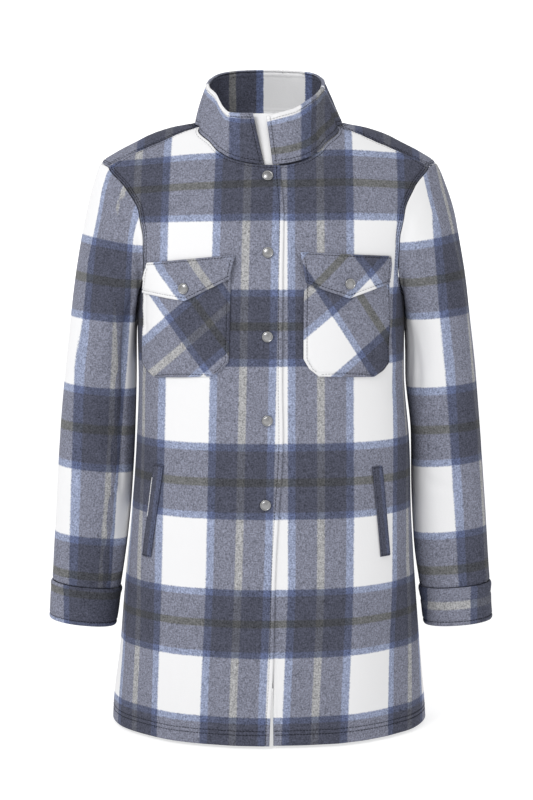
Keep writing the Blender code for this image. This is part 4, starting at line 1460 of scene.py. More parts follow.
@dataclass(frozen=True)
class Sleeve:
    """One-piece sleeve from its armhole to the seam of its cuff."""

    hand: Hand
    wall: float = 2.2
    front_steps: int = 46
    back_steps: int = 50

    def tube(self, angle: Array, z: Array, proud: float = 0.0, creased: bool = True) -> Array:
        """Points of the level sections: 0 is the inner line, 90 the front, 180 the outer.

        Args:
            angle: Angles round the section in degrees.
            z: Heights in millimetres.
            proud: Distance outwards.
            creased: Whether the creases count.

        Returns:
            Points in millimetres.
        """
        inner = SLEEVE_TABLE.read("inner_" + self.hand.value, z)
        outer = SLEEVE_TABLE.read("outer_" + self.hand.value, z)
        lift = fold_height(SLEEVE_FOLDS, angle, z) + proud
        if creased:
            own = z + 9 * self.hand.sign
            lift = lift + crease_height(SLEEVE_CREASES, angle, own, SLEEVE_SCALE)
            lift = lift + crease_height(DEEP_CREASES[self.hand], angle, z, SLEEVE_SCALE)
            lift = lift + 0.8 * soft_waves(angle * SLEEVE_SCALE, z, 2.2 + self.hand.sign)
        half_width = (outer - inner) / 2 + lift
        sine = np.sin(np.radians(angle))
        depth = np.where(sine > 0, SLEEVE_TABLE.read("front", z), SLEEVE_TABLE.read("back", z)) + lift
        power = 2 / SLEEVE_ROUND
        x = (outer + inner) / 2 - half_width * signed_power(np.cos(np.radians(angle)), power)
        return stacked(x * self.hand.sign, -depth * signed_power(sine, power), z)

    def loop(self) -> tuple[Array, Array, Array]:
        """Angle, point and way out of the hole at the points of the armhole.

        Returns:
            The three arrays, one row a point.
        """
        front = FRONT_ARM_LINE.at(np.linspace(0, 1, self.front_steps))
        back = BACK_ARM_LINE.at(np.linspace(1, 0, self.back_steps)[1:])
        turn, z = (np.concatenate([a, b]) for a, b in zip(front, back))
        spots = FORM.point(turn, z)
        run = np.concatenate([[0.0], np.cumsum(np.linalg.norm(np.diff(spots, axis=0), axis=1))])
        angle = 360 * run / run[-1]
        points = FORM.point(turn, z)[:-1]
        edge = np.roll(points, -1, 0) - np.roll(points, 1, 0)
        out = unit(np.cross(FORM.normal(turn, z)[:-1], edge))
        inwards = points.mean(0) - points
        out = np.where((out * inwards).sum(1, keepdims=True) < 0, -out, out)
        if self.hand is Hand.LEFT:
            shift = 2 * FORM.table.read("shift", points[:, 2])
            points = points * (-1, 1, 1) + stacked(shift, 0 * shift, 0 * shift)
            out = out * (-1, 1, 1)
        return angle[:-1], points, out

    def pattern(self, points: Array, angle: Array, z: Array) -> Array:
        """Pattern places, with one column more than the points so that the seam can differ.

        Args:
            points: Points in millimetres.
            angle: Angles of the columns.
            z: Heights in millimetres.

        Returns:
            Pattern across and along, in millimetres.
        """
        rows = SLEEVE_WARP[self.hand]
        x = np.abs(points[..., 0])
        levels = np.array([row[0] for row in rows], float)[::-1]
        values = np.array([Curve(*zip(*row[1]))(x) for row in rows])[::-1]
        place = np.interp(z, levels, np.arange(len(levels), dtype=float))
        low = np.clip(place.astype(int), 0, len(levels) - 2)
        share = place - low
        picked = np.take_along_axis(values, low[None], 0)[0]
        after = np.take_along_axis(values, low[None] + 1, 0)[0]
        front = picked * (1 - share) + after * share
        run = Grid(np.concatenate([points, points[:, :1]], 1), points).run_across()
        inner, outer = (int(np.argmin(np.abs(angle - limit))) for limit in (38, 138))
        way = 1.0 if self.hand is Hand.RIGHT else -1.0
        behind = front[:, outer:outer + 1] + way * (run - run[:, outer:outer + 1])
        across = np.concatenate([front, front[:, :1]], 1)
        columns = np.arange(across.shape[1])[None]
        across = np.where(columns > outer, behind, across)
        before = front[:, inner:inner + 1] + way * (run[:, inner:inner + 1] - run)
        across = np.where(columns < inner, before, across)
        x_wide = np.concatenate([x, x[:, :1]], 1)
        z_wide = np.concatenate([z, z[:, :1]], 1)
        slope = 0.10 + 0.14 * smooth_step(-300, -120, z_wide)
        far = x_wide.max(1, keepdims=True)
        return stacked(across, SLEEVE_WEFT[self.hand](z_wide + slope * (far - 12 - x_wide)))

    def grid(self) -> Grid:
        """Outer face of the sleeve, from the armhole down.

        Returns:
            The grid with its relief.
        """
        angle, start_seam, out = self.loop()
        start = start_seam + out * SEAM_HALF_GAP * 2
        end_z = SLEEVE_END_Z - CUFF_SLOPES[self.hand] * CUFF_HALF_WIDTH * np.cos(np.radians(angle)) + 0.35
        offset = start - self.tube(angle, start[:, 2], creased=False)
        offset[:, 2] = 0

        def at(down: float) -> Array:
            """Row of points at a share of the way down.

            Args:
                down: Share from the armhole to the cuff.

            Returns:
                Points in millimetres.
            """
            z = start[:, 2] + (end_z - start[:, 2]) * down
            fade = max(0.0, 1 - down / SLEEVE_BLEND_END) ** 2
            creased = self.tube(angle, z)
            bare = self.tube(angle, z, creased=False)
            firm = float(smooth_step(0.03, 0.14, down))
            return bare + (creased - bare) * firm + offset * fade

        under = np.maximum(0, np.cos(np.radians(angle)))[:, None] ** 2
        knee = 0.045
        first, second = at(knee), at(knee + 0.01)
        reach = np.linalg.norm(first - start, axis=1, keepdims=True)
        lead = unit(out * (1 - under) + unit(first - start) * under) * reach * 0.9
        fall = unit(second - first) * reach * 1.0
        rows = []
        for t in (0, 0.045, 0.1, 0.17, 0.25, 0.34, 0.44, 0.55, 0.67, 0.8, 0.9):
            rise = t * t * (3 - 2 * t)
            rows.append(start * (1 - rise) + first * rise + lead * t * (1 - t) ** 2 + fall * t * t * (t - 1))
        downs = knee + (1 - knee) * fine_shares(400, 4.4, (), (0.7, 1.5, 2.5, 4.0, 6.5, 9.5))
        rows += [at(float(down)) for down in downs]
        points = np.array(rows)
        z = points[..., 2]
        grid = Grid(points, self.pattern(points, angle, z), flip=self.hand is Hand.LEFT, ring=True)
        along = grid.run_along()
        bottom = along[-1:] - along
        run = np.broadcast_to(angle * SLEEVE_SCALE, along.shape)
        height = seam_dip(along, 0.7, 1.4) + seam_dip(bottom, 0.8, 2.0)
        height += 0.45 * ripple(run, 13, 1.9 + self.hand.sign) * bell(bottom, 11)
        height += 0.30 * ripple(run, 15, 4.9 + self.hand.sign) * bell(along - 5, 6)
        return grid.raised(height)

    def build(self, wardrobe: Wardrobe) -> None:
        """Args:
            wardrobe: Materials of the shacket.
        """
        grid = self.grid()
        name = f"sleeve_{self.hand.value}"
        piece = cloth_object(f"{name}_cloth", grid, self.wall, [wardrobe.plaid])
        declare(piece, grid, name)


@dataclass(frozen=True)
class Cuff:
    """Band cuff round the end of a sleeve."""

    sleeve: Sleeve
    wall: float = 2.8
    depth: float = 50.0
    columns: int = 96
    stitch_up: float = 5.6

    def pattern(self, points: Array, angle: Array, drop: Array) -> Array:
        """Pattern places round the band, with one column more than the points.

        Args:
            points: Points in millimetres.
            angle: Angles of the columns.
            drop: Distances below the cuff's seam.

        Returns:
            Pattern across and along, in millimetres.
        """
        x = np.abs(points[..., 0])
        if self.sleeve.hand is Hand.RIGHT:
            front = Curve((195, 225, 258.5, 266, 280), (30, 8, 31.7, 41.2, 58))(x)
            along = -(drop - 9) * 1.05
        else:
            front = Curve((200, 207, 262, 271, 290), (150, 143.2, 47.4, 38.2, 16))(x)
            along = -(drop - 23) * 0.9
        run = Grid(np.concatenate([points, points[:, :1]], 1), points).run_across()
        outer = int(np.argmin(np.abs(angle - 170)))
        way = 1.0 if self.sleeve.hand is Hand.RIGHT else -1.0
        behind = front[:, outer:outer + 1] + way * (run - run[:, outer:outer + 1])
        across = np.concatenate([front, front[:, :1]], 1)
        across = np.where(np.arange(across.shape[1])[None] > outer, behind, across)
        along = np.concatenate([along, along[:, :1]], 1)
        return stacked(across, along) if self.sleeve.hand is Hand.RIGHT else stacked(along, across)

    def build(self, wardrobe: Wardrobe) -> None:
        """Args:
            wardrobe: Materials of the shacket.
        """
        hand = self.sleeve.hand
        angles = np.linspace(0, 360, self.columns, endpoint=False)
        low_steps = (0.7, 1.5, 2.6, 3.8, 4.8, 5.6, 6.4, 7.4, 9.0)
        drops = self.depth * fine_shares(50, 2.6, (0.6, 1.3, 2.2, 3.4, 5.0), low_steps)
        angle, drop = np.meshgrid(angles, drops)
        z = SLEEVE_END_Z - drop - CUFF_SLOPES[hand] * CUFF_HALF_WIDTH * np.cos(np.radians(angle)) - 0.35
        points = self.sleeve.tube(angle, z, CUFF_PROUD, creased=False)
        grid = Grid(points, self.pattern(points, angles, drop), flip=hand is Hand.LEFT, ring=True)
        run = np.broadcast_to(angles * SLEEVE_SCALE, drop.shape)
        low = self.depth - drop
        height = -1.0 * bell(drop, 1.2) - 0.9 * bell(low, 1.1)
        height += 0.8 * bell(drop - 4.5, 3.5) + stitched(low, self.stitch_up, run, 2.9, 0.5, 0.2)
        height += 0.5 * np.sin(run / 9 + drop / 14 + hand.sign) * np.sin(drop / self.depth * math.pi)
        height -= 0.9 * np.exp(-((drop - 17 - 3 * np.sin(run / 12)) / 2.4) ** 2) * (hand is Hand.LEFT)
        grid = grid.raised(height)
        piece = cloth_object(f"cuff_{hand.value}_cloth", grid, self.wall, [wardrobe.plaid])
        lines = [grid.line("high", self.stitch_up)]
        stitches = StitchRow().build(f"cuff_{hand.value}_stitches", lines, wardrobe.thread)
        declare(piece, grid, f"cuff_{hand.value}", stitches)


# ---------------------------------------------------------------- collar
COLLAR_TABLE = Table(("turn", "x", "y", "z", "bulge"), (
    (-88.3, -19.9, -74.5, 10.8, 0.5), (-83, -31, -70.5, 10.9, 1.5), (-72.5, -50, -57, 12.5, 1),
    (-66, -58.5, -44, 20, -1), (-58, -67, -27, 36, -1.5), (-44, -77.5, -4, 46.5, 0.5),
    (-22, -78.7, 9, 51, 1.5), (0, -76, 23, 57, 2), (30, -66, 42, 64, 2.5), (60, -40, 57, 69, 3),
    (90, 0, 62, 70.5, 3), (120, 42, 56, 68.5, 3), (150, 64, 37, 63, 2.5), (180, 70.5, 18, 55, 2),
    (202, 69.5, -2, 48, 1), (224, 65, -22, 41, -1), (238, 57, -38, 33, -2), (246, 48, -50, 26.8, -0.5),
    (254, 33, -61, 17.5, 1.5), (263, 11, -69, 11, 2), (268.4, -3, -70.5, 7, 0.5),
))
COLLAR_CREASES = (
    (-70, 0.10, -57, 0.80, 6.0, -2.2), (-48, 0.15, -40, 0.85, 7.0, -1.2), (246, 0.05, 226, 0.78, 6.0, -3.0),
    (256, 0.20, 243, 0.60, 6.0, -1.3), (210, 0.20, 200, 0.80, 8.0, -1.4), (120, 0.25, 112, 0.95, 8.0, -1.6),
    (60, 0.20, 68, 0.90, 8.0, -1.3), (20, 0.15, 30, 0.85, 8.0, -1.4),
)


@dataclass(frozen=True)
class Collar:
    """Stand collar: one folded piece with rounded front corners."""

    wall: float = 3.0
    rise: float = 0.8
    inset: float = 0.3
    columns: int = 190
    height: float = 66.0

    def neck(self, turn: Array) -> Array:
        """Points of the neck seam at turns.

        Args:
            turn: Turns in degrees.

        Returns:
            Points in millimetres.
        """
        share_front = np.linspace(1, 0, 40)
        share_back = np.linspace(0, 1, 40)[1:]
        front = NECK_FRONT_LINE.at(share_front)
        back = NECK_BACK_LINE.at(share_back)
        turns, z = (np.concatenate([a, b]) for a, b in zip(front, back))
        all_turns = np.concatenate([turns, 180 - turns[:-1][::-1]])
        all_z = np.concatenate([z, z[:-1][::-1]])
        return FORM.point(turn, np.interp(turn, all_turns, all_z))

    def build(self, wardrobe: Wardrobe) -> None:
        """Args:
            wardrobe: Materials of the shacket.
        """
        first, last = COLLAR_TABLE.rows[0][0], COLLAR_TABLE.rows[-1][0]
        turns = first + (last - first) * fine_shares(450, 2.6, EDGE_STEPS, EDGE_STEPS)
        shares = fine_shares(self.height, 1.9, (0.6, 1.3, 2.2, 3.2), (0.5, 1.0, 1.6, 2.4, 3.4, 4.6, 5.6, 6.6, 7.8))
        turn, share = np.meshgrid(turns, shares)
        base = self.neck(turn)
        top = stacked(*(COLLAR_TABLE.read(axis, turn) for axis in "xyz"))
        way = unit((base + top) * (1, 1, 0))
        bulge = COLLAR_TABLE.read("bulge", turn) * np.sin(math.pi * share)
        lift = stacked(0 * turn, 0 * turn, np.full(turn.shape, self.rise)) - way * self.inset
        points = base + (top - base) * share[..., None] + lift * (1 - share)[..., None] + way * bulge[..., None]
        grid = Grid(points, self.pattern(points, turn, share), flip=True)
        across, along = grid.run_across(), grid.run_along()
        left, right = across, across[:, -1:] - across
        rim = along[-1:] - along
        height = seam_dip(along, 0.8) - 1.5 * bell(rim, 1.5)
        height -= 1.3 * (bell(left, 1.3) + bell(right, 1.3))
        height += 0.5 * bell(rim - 3, 2)
        height += stitched(rim, 6.2, across, 1.7, 0.45, 0.2) + stitched(left, 5.2, along, 2.7, 0.4, 0.1)
        height += stitched(right, 5.0, along, 3.7, 0.4, 0.1) + stitched(along, 5.0, across, 4.7, 0.4, 0.2)
        for turn_a, low, turn_b, high, width, out in COLLAR_CREASES:
            line = (turn - turn_a) * 1.35, (share - low) * self.height
            far = (turn_b - turn_a) * 1.35, (high - low) * self.height
            length = math.hypot(*far)
            held = np.clip((line[0] * far[0] + line[1] * far[1]) / length ** 2, 0, 1)
            away = np.hypot(line[0] - held * far[0], line[1] - held * far[1])
            height += out * np.exp(-(away / width) ** 2) * np.sin(math.pi * (0.15 + 0.7 * held))
        height += 0.7 * soft_waves(across, along * 2, 3.1)
        grid = grid.raised(height)
        piece = cloth_object("collar_cloth", grid, self.wall, [wardrobe.plaid, wardrobe.plaid_inside])
        lines = [grid.line("high", 6.2), grid.line("left", 5.2), grid.line("right", 5.0), grid.line("low", 5.0)]
        stitches = StitchRow().build("collar_stitches", lines, wardrobe.thread)
        declare(piece, grid, "collar", stitches)

    def pattern(self, points: Array, turn: Array, share: Array) -> Array:
        """Pattern places of the folded cloth, outer face; the inner one shares them.

        Args:
            points: Points in millimetres.
            turn: Turns in degrees.
            share: Shares from the seam to the rim.

        Returns:
            Pattern across and along, in millimetres.
        """
        x = points[..., 0]
        right = Curve((-85, -49.5, -35.7, -12, 0), (78, 41.2, 31.7, 8, -3))(x)
        left = Curve((-5, 40.5, 54.3, 60, 72, 84), (87, 41.2, 31.7, 4.7, -4.7, -22))(x)
        behind = x + 48
        front = np.where(turn < 90, right, left)
        mixed = smooth_step(-30, -8, turn) * (1 - smooth_step(196, 214, turn))
        across = front * (1 - mixed) + behind * mixed
        down = (1 - share) * self.height
        right_along = Curve((0, 8, 14, 40, 70), (62, 47.4, 38.2, 9, 26))(down)
        left_along = Curve((0, 8, 14, 44, 53, 70), (56, 47.4, 38.2, 5.2, -5, -25))(down)
        along = np.where(turn < 90, right_along, left_along)
        return stacked(across, along)


@dataclass(frozen=True)
class Underlap:
    """Narrow pale strip behind the two ends of the collar."""

    wall: float = 1.8
    low: tuple[float, float, float, float] = (-13.8, 13.4, -76.4, -57)
    high: tuple[float, float, float, float] = (-26, 12, -66.2, 10)
    radius: float = 75.0

    def build(self, wardrobe: Wardrobe) -> None:
        """Args:
            wardrobe: Materials of the shacket.
        """
        u, v = np.meshgrid(fine_shares(30, 2.4, (0.6, 1.4), (0.6, 1.4)), fine_shares(58, 2.4, (0.6, 1.4), (0.6, 1.4)))
        left, right, y, z = (a + (b - a) * v for a, b in zip(self.low, self.high))
        x = left + (right - left) * u
        points = stacked(x, y + x * x / (2 * self.radius), z)
        grid = Grid(points, stacked(x, z))
        across, along = grid.run_across(), grid.run_along()
        edge = np.minimum(across, across[:, -1:] - across)
        height = -0.7 * bell(edge, 1.0) - 0.4 * bell(edge - 4.5, 0.9)
        height += 0.25 * np.sin(along / 9)
        grid = grid.raised(height)
        piece = cloth_object("collar_underlap_cloth", grid, self.wall, [wardrobe.pale])
        declare(piece, grid, "collar_underlap")


# ---------------------------------------------------------------- pieces laid on the fronts
LAID_GAP = 0.85
POCKET_GAP = 1.5
POCKET_WALL = 1.8
FLAP_GAP = 0.8
FLAP_WALL = 2.0
SNAP_GAP = 0.5


def laid_point(x: Array, z: Array, out: Array, hand: Hand) -> Array:
    """Points above a front's cloth at sideways places and heights.

    Args:
        x: Sideways places in millimetres.
        z: Heights in millimetres.
        out: Distance above the cloth.
        hand: Side of the front.

    Returns:
        Points in millimetres.
    """
    shift = LAP_OUT[hand] * (1 - smooth_step(*LAP_FADE, np.abs(x)))
    return FORM.cloth(FORM.turn_at_x(x, z), z, out + shift)


def outline_distance(x: Array, z: Array, outline: Array) -> tuple[Array, Array]:
    """Distance of places from a closed outline, and how far along it the nearest point is.

    Args:
        x: Sideways places in millimetres.
        z: Heights in millimetres.
        outline: Corners of the outline, in order.

    Returns:
        Distances, and lengths along the outline.
    """
    best = np.full(x.shape, 1e9)
    run = np.zeros(x.shape)
    start = 0.0
    for a, b in zip(outline, np.roll(outline, -1, 0)):
        way = b - a
        length = float(np.hypot(*way))
        if length < 1e-6:
            continue
        share = np.clip(((x - a[0]) * way[0] + (z - a[1]) * way[1]) / length ** 2, 0, 1)
        away = np.hypot(x - a[0] - way[0] * share, z - a[1] - way[1] * share)
        run = np.where(away < best, start + share * length, run)
        best = np.minimum(best, away)
        start += length
    return best, run


@dataclass(frozen=True)
class Pocket:
    """Patch pocket cut on the bias, with bevelled lower corners."""

    hand: Hand
    table: tuple[tuple[float, float, float, float], ...]
    warp: Placing
    weft: Placing
    stitch_in: float = 4.8

    def build(self, wardrobe: Wardrobe) -> None:
        """Args:
            wardrobe: Materials of the shacket.
        """
        heights = [0.0]
        for a, b in zip(self.table, self.table[1:]):
            heights.append(heights[-1] + abs((a[1] + a[3] - b[1] - b[3]) / 2))
        total = heights[-1]
        v = fine_shares(total, 2.2, (0.6, 1.4), (0.5, 1.0, 1.7, 2.5, 3.4, 4.4, 5.4, 6.4)) * total
        u = fine_shares(106, 2.4, (0.6, 1.2, 2.0, 3.0, 4.0, 5.0, 6.0, 7.5), (0.6, 1.2, 2.0, 3.0, 4.0, 5.0, 6.0, 7.5))
        x0, z0, x1, z1 = (np.interp(v, heights, [row[k] for row in self.table])[:, None] for k in range(4))
        x = x0 + (x1 - x0) * u
        z = z0 + (z1 - z0) * u
        around = ((0, slice(None)), (slice(1, None), -1), (-1, slice(-2, None, -1)), (slice(-2, 0, -1), 0))
        outline = np.concatenate([np.stack([x[part], z[part]], 1) for part in around])
        edge, run = outline_distance(x, z, outline)
        out = POCKET_GAP + POCKET_WALL - 1.4 * bell(edge, 1.3)
        out += stitched(edge, self.stitch_in, run, 1.3, 0.45, 0.2) + 0.4 * bell(edge - 2.4, 1.3)
        out += 0.55 * soft_waves(x * 1.5, z * 1.5, 4.4 + self.hand.sign)
        grid = Grid(laid_point(x, z, out, self.hand), stacked(self.warp(x, z), self.weft(x, z)), flip=True)
        name = f"pocket_{self.hand.value}"
        piece = cloth_object(f"{name}_cloth", grid, POCKET_WALL, [wardrobe.bias])
        lines = [grid.line("left", self.stitch_in, 4, -6), grid.line("right", self.stitch_in, 4, -6),
                 grid.line("high", self.stitch_in, 7, -7)]
        stitches = StitchRow().build(f"{name}_stitches", lines, wardrobe.thread)
        declare(piece, grid, name, stitches)


FLAP_WARP_END = -31.0


@dataclass(frozen=True)
class Flap:
    """Pointed pocket flap cut on the bias, whose front end lifts."""

    hand: Hand
    table: tuple[tuple[float, float, float, float], ...]
    warp: Placing
    weft: Placing
    curl: float = 2.5
    stitch_in: float = 4.4
    dimple: float = 1.1

    def build(self, wardrobe: Wardrobe) -> None:
        """Args:
            wardrobe: Materials of the shacket.
        """
        v = fine_shares(42, 2.0, (0.6, 1.3, 2.2, 3.2, 4.2, 5.4, 6.6), (0.5, 1.0, 1.7, 2.6, 3.6, 4.4, 5.4, 6.6))
        u = fine_shares(110, 2.2, (0.6, 1.2, 2.0, 3.0, 4.2, 5.4, 6.6), (0.6, 1.2, 2.0, 3.0, 4.2, 5.4, 6.6))
        share, down = np.meshgrid(u, v)
        places = np.linspace(0, 1, len(self.table))
        x_top, z_top, x_low, z_low = (np.interp(share, places, [row[k] for row in self.table]) for k in range(4))
        x = x_top + (x_low - x_top) * down
        z = z_top + (z_low - z_top) * down
        to_middle = 1 - share if self.hand is Hand.LEFT else share
        lifted = self.curl * smooth_step(0.75, 1.0, to_middle) * down
        top_out = LAID_GAP + FLAP_WALL
        low_out = POCKET_GAP + POCKET_WALL + FLAP_GAP + FLAP_WALL
        out = top_out + (low_out - top_out) * smooth_step(0.0, 0.33, down) + lifted
        bare = Grid(laid_point(x, z, out, self.hand), stacked(x, z), flip=True)
        across, along = bare.run_across(), bare.run_along()
        side = np.minimum(across, across[:, -1:] - across)
        low = along[-1:] - along
        height = -0.8 * bell(along, 1.0) - 1.1 * bell(low, 1.0) - 1.0 * bell(side, 1.0)
        height += 0.6 * bell(along - 3.2, 1.8) - 0.7 * bell(along - 6.4, 1.0)
        height += stitched(low, self.stitch_in, across, 5.3, 0.45, 0.2)
        height += stitched(side, self.stitch_in, along, 6.3, 0.4, 0.1)
        height += 0.6 * soft_waves(x * 1.4, z * 2, 5.4 + self.hand.sign)
        snap_x, snap_z = POCKET_SNAPS[self.hand]
        height -= self.dimple * np.exp(-((x - snap_x) / 5) ** 2 - ((z - snap_z - 13) / 4) ** 2)
        pattern = stacked(np.maximum(self.warp(x, z), FLAP_WARP_END), self.weft(x, z))
        grid = Grid(bare.points, pattern, flip=True).raised(height)
        name = f"flap_{self.hand.value}"
        piece = cloth_object(f"{name}_cloth", grid, FLAP_WALL, [wardrobe.bias])
        lines = [grid.line("high", self.stitch_in), grid.line("low", 3.2), grid.line("left", self.stitch_in, 6),
                 grid.line("right", self.stitch_in, 6)]
        stitches = StitchRow().build(f"{name}_stitches", lines, wardrobe.thread)
        declare(piece, grid, name, stitches)


@dataclass(frozen=True)
class Welt:
    """Slanted welt of a side pocket, with a bar of stitches at each end."""

    hand: Hand
    table: tuple[tuple[float, float, float, float], ...]
    wall: float = 1.8

    def build(self, wardrobe: Wardrobe) -> None:
        """Args:
            wardrobe: Materials of the shacket.
        """
        steps = (0.5, 1.1, 1.8, 2.6, 3.6)
        down, share = np.meshgrid(fine_shares(120, 2.6, steps, steps), fine_shares(12.5, 1.2, steps[:4], steps[:4]),
                                  indexing="ij")
        (xa, za, xb, zb), (xc, zc, xd, zd) = self.table
        x = (xa + (xb - xa) * share) * (1 - down) + (xc + (xd - xc) * share) * down
        z = (za + (zb - za) * share) * (1 - down) + (zc + (zd - zc) * share) * down
        bare = Grid(laid_point(x, z, np.full(x.shape, LAID_GAP + self.wall), self.hand), stacked(x, z), flip=True)
        across, along = bare.run_across(), bare.run_along()
        side = np.minimum(across, across[:, -1:] - across)
        end = np.minimum(along, along[-1:] - along)
        height = -1.0 * bell(side, 0.9) - 0.9 * bell(end, 0.9)
        height += 0.25 * ripple(along, 19, 2.5) - 0.3 * bell(side - 2.2, 0.7)
        pattern = stacked(24 + 13 * share, 14 + 0.18 * along)
        if self.hand is Hand.RIGHT:
            pale = (share < 0.14) & (down > 0.14) & (down < 0.56)
            pattern = np.where(pale[..., None], (WARP.period / 2, WEFT.period / 2), pattern)
        grid = Grid(bare.points, pattern, flip=True).raised(height)
        name = f"welt_{self.hand.value}"
        piece = cloth_object(f"{name}_cloth", grid, self.wall, [wardrobe.plaid])
        lines = [grid.line("left", 2.2), grid.line("right", 2.2)]
        lines += [grid.line(edge, d) for edge in ("low", "high") for d in (1.6, 2.4)]
        stitches = StitchRow(pitch=3.4, length=2.5, radius=0.26).build(f"{name}_stitches", lines, wardrobe.thread)
        declare(piece, grid, name, stitches)


# ---------------------------------------------------------------- snaps
FRONT_SNAPS = ((-1.1, -68), (-0.8, -161), (-1.4, -264), (-1.6, -368), (-3.8, -473))
POCKET_SNAPS = {Hand.RIGHT: (-102.8, -206), Hand.LEFT: (98.2, -200)}


@dataclass(frozen=True)
class Snap:
    """Ring-rimmed snap with a shallow domed cap."""

    node: str
    x: float
    z: float
    out: float
    hand: Hand
    radius: float = 6.9
    sides: int = 48

    def profile(self) -> Array:
        """Distances from the axis and heights, in shares of the radius.

        Returns:
            Pairs from the top of the cap to its middle underneath.
        """
        return np.array([(0, 0.36), (0.16, 0.354), (0.3, 0.338), (0.42, 0.315), (0.54, 0.285), (0.64, 0.25),
                         (0.715, 0.205), (0.755, 0.19), (0.79, 0.225), (0.83, 0.268), (0.88, 0.285),
                         (0.93, 0.268), (0.975, 0.21), (1.0, 0.13), (0.99, 0.05), (0.955, 0.0), (0, 0)])

    def build(self, wardrobe: Wardrobe) -> None:
        """Args:
            wardrobe: Materials of the shacket.
        """
        outline = self.profile() * self.radius
        turn = FORM.turn_at_x(np.array(self.x), np.array(float(self.z)))
        normal = FORM.normal(turn, np.array(float(self.z)))
        place = laid_point(np.array(self.x), np.array(float(self.z)), np.array(self.out), self.hand)
        angles = np.linspace(0, math.tau, self.sides, endpoint=False)
        ring = [(0.0, 0.0, float(outline[0, 1]))]
        for reach, up in outline[1:-1]:
            ring += [(reach * math.cos(a), reach * math.sin(a), up) for a in angles]
        ring.append((0.0, 0.0, 0.0))
        faces = [[0, 1 + k, 1 + (k + 1) % self.sides] for k in range(self.sides)]
        for r in range(len(outline) - 3):
            for k in range(self.sides):
                a, b = 1 + r * self.sides + k, 1 + r * self.sides + (k + 1) % self.sides
                faces.append([a, a + self.sides, b + self.sides, b])
        low = 1 + (len(outline) - 3) * self.sides
        faces += [[len(ring) - 1, low + (k + 1) % self.sides, low + k] for k in range(self.sides)]
        mesh = bpy.data.meshes.new(self.node)
        mesh.from_pydata([tuple(c * MM for c in spot) for spot in ring], [], faces)
        mesh.shade_smooth()
        mesh.materials.append(wardrobe.metal)
        piece = link(bpy.data.objects.new(f"{self.node}_cap", mesh))
        piece.location = Vector(place * MM)
        piece.rotation_mode = "QUATERNION"
        piece.rotation_quaternion = Vector(normal).to_track_quat("Z", "Y")
        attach(piece, "root")
        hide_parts(self.node)
        LOG.info("%s: %d faces", piece.name, len(faces))


# ---------------------------------------------------------------- studio
@dataclass(frozen=True)
class Studio:
    """Pale floor, soft light and the camera."""

    camera_at: tuple[float, float, float] = (-0.0026, -2.583, -0.0627)
    pitch: float = 6.5
    lens: float = 90.0
    floor_z: float = -0.781
    floor_half: float = 30.0
    floor_glow: float = 0.66
    wall_half: float = 12.0
    wall_y: float = 8.0
    wall_glow: float = 0.9
    world: float = 0.66
    key_power: float = 61.0
    fill_power: float = 9.0

    def glowing_wall(self, name: str, corners: Sequence[tuple[float, float, float]], glow: float) -> None:
        """One plain stage face that gives off light.

        Args:
            name: Name of the object.
            corners: Its four corners in metres.
            glow: Strength of its light.
        """
        mesh = bpy.data.meshes.new(name)
        mesh.from_pydata(corners, [], [[0, 1, 2, 3]])
        material = plain_material(f"{name}_face")
        graph = Graph(material)
        graph.surface({"Base Color": rgba((0.5, 0.5, 0.5)), "Emission Color": rgba((1, 1, 1)),
                       "Emission Strength": glow, "Roughness": 1.0, "Specular IOR Level": 0.0})
        mesh.materials.append(material)
        link(bpy.data.objects.new(name, mesh))

    def light(self, name: str, at: tuple[float, float, float], to: tuple[float, float, float], size: float,
              power: float) -> None:
        """One soft area light that faces a point.

        Args:
            name: Name of the lamp.
            at: Its place.
            to: Point that it faces.
            size: Side of the lamp in metres.
            power: Its power in watts.
        """
        lamp = bpy.data.lights.new(name, "AREA")
        lamp.size = size
        lamp.energy = power
        holder = link(bpy.data.objects.new(name, lamp))
        holder.location = at
        holder.rotation_mode = "QUATERNION"
        holder.rotation_quaternion = (Vector(to) - Vector(at)).to_track_quat("-Z", "Y")

    def build(self) -> None:
        """Set up the stage, the lights, the camera and the view transform."""
        scene = bpy.context.scene
        far, wide = self.floor_half, self.wall_half
        square = ((-1, -1), (1, -1), (1, 1), (-1, 1))
        self.glowing_wall("floor", [(far * a, far * b, self.floor_z) for a, b in square], self.floor_glow)
        self.glowing_wall("backdrop", [(wide * a, self.wall_y, wide * b) for a, b in square], self.wall_glow)
        world = bpy.data.worlds.new("studio")
        world.use_nodes = True
        background = world.node_tree.nodes["Background"]
        background.inputs[0].default_value = (1, 1, 1, 1)
        background.inputs[1].default_value = self.world
        scene.world = world
        middle = (0.0, 0.0, -0.35)
        self.light("key", (-1.7, -2.3, 1.9), middle, 1.3, self.key_power)
        self.light("fill", (2.2, -2.4, 0.6), middle, 2.2, self.fill_power)
        camera = link(bpy.data.objects.new("camera", bpy.data.cameras.new("camera")))
        camera.data.sensor_fit = "VERTICAL"
        camera.data.sensor_height = 36.0
        camera.data.lens = self.lens
        camera.location = self.camera_at
        camera.rotation_euler = (math.radians(90 - self.pitch), 0, 0)
        scene.camera = camera
        scene.view_settings.view_transform = "Standard"


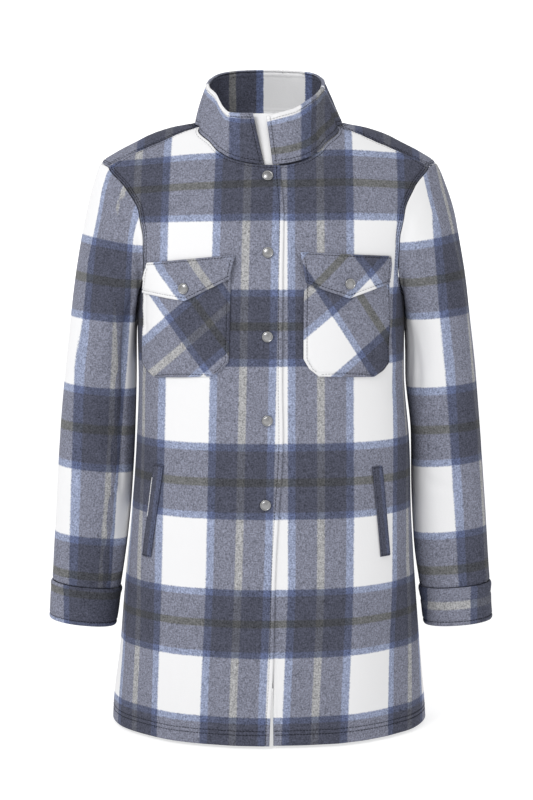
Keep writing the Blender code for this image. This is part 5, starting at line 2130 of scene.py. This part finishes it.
# ---------------------------------------------------------------- the whole
POCKET_RIGHT = ((-156, -209, -46, -182), (-157.5, -250, -47, -240), (-159.5, -301, -49, -295.5),
                (-153, -311.5, -57.5, -305.5), (-142.5, -318.5, -70.5, -313.5))
POCKET_LEFT = ((44, -180, 150, -193), (43, -240, 151, -244), (43, -292, 150, -300), (50, -304, 142.5, -309.5),
               (62, -313.5, 131, -316.5))
FLAP_RIGHT = ((-151.5, -175, -155, -213), (-122, -172, -124, -218.5), (-99, -169.6, -102, -221.5),
              (-72, -167, -73, -206.5), (-40.5, -164, -47, -193.5))
FLAP_LEFT = ((38.9, -160, 45, -198), (68, -161.8, 71, -208.5), (97, -163.5, 98.5, -218),
             (124, -165, 124, -209), (152.5, -166.5, 148.5, -200.5))
WELT_RIGHT = ((-144.3, -428.3, -131.2, -428.3), (-159.6, -547.4, -148.3, -547.4))
WELT_LEFT = ((129.1, -428.9, 142.3, -428.9), (141.1, -544.9, 153.9, -544.9))


def main() -> None:
    """Build the shacket on its frame, in order."""
    logging.basicConfig(level=logging.INFO, format="%(message)s")
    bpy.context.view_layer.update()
    wardrobe = Wardrobe.make()
    Back().build(wardrobe)
    for hand in Hand:
        Front(hand).build(wardrobe)
        sleeve = Sleeve(hand)
        sleeve.build(wardrobe)
        Cuff(sleeve).build(wardrobe)
    Collar().build(wardrobe)
    Underlap().build(wardrobe)
    Pocket(Hand.RIGHT, POCKET_RIGHT, laid_pattern((-127.4, -242.6), 42, 1.0, 41.2),
           laid_pattern((-127.4, -242.6), -54.3, 1.13, -47.4)).build(wardrobe)
    Pocket(Hand.LEFT, POCKET_LEFT, laid_pattern((77.9, -239.2), 40, -1.0, 41.2),
           laid_pattern((77.9, -239.2), -57.6, 1.13, -47.4)).build(wardrobe)
    Flap(Hand.RIGHT, FLAP_RIGHT, laid_pattern((-128.3, -194.2), -54, -1.0, 41.2),
         laid_pattern((-100, -192), 38, 1.0, 95.0)).build(wardrobe)
    Flap(Hand.LEFT, FLAP_LEFT, laid_pattern((115.3, -182.7), -55.5, -1.0, 41.2),
         laid_pattern((76.8, -181.2), 45.7, -1.13, 0.0)).build(wardrobe)
    Welt(Hand.RIGHT, WELT_RIGHT).build(wardrobe)
    Welt(Hand.LEFT, WELT_LEFT).build(wardrobe)
    for number, (x, z) in enumerate(FRONT_SNAPS, 1):
        Snap(f"snap_front_{number}", x, z, SNAP_GAP, Hand.RIGHT).build(wardrobe)
    flap_out = POCKET_GAP + POCKET_WALL + FLAP_GAP + FLAP_WALL + SNAP_GAP
    for hand, (x, z) in POCKET_SNAPS.items():
        Snap(f"snap_pocket_{hand.value}", x, z, flap_out, hand).build(wardrobe)
    Studio().build()


if __name__ == "__main__":
    main()
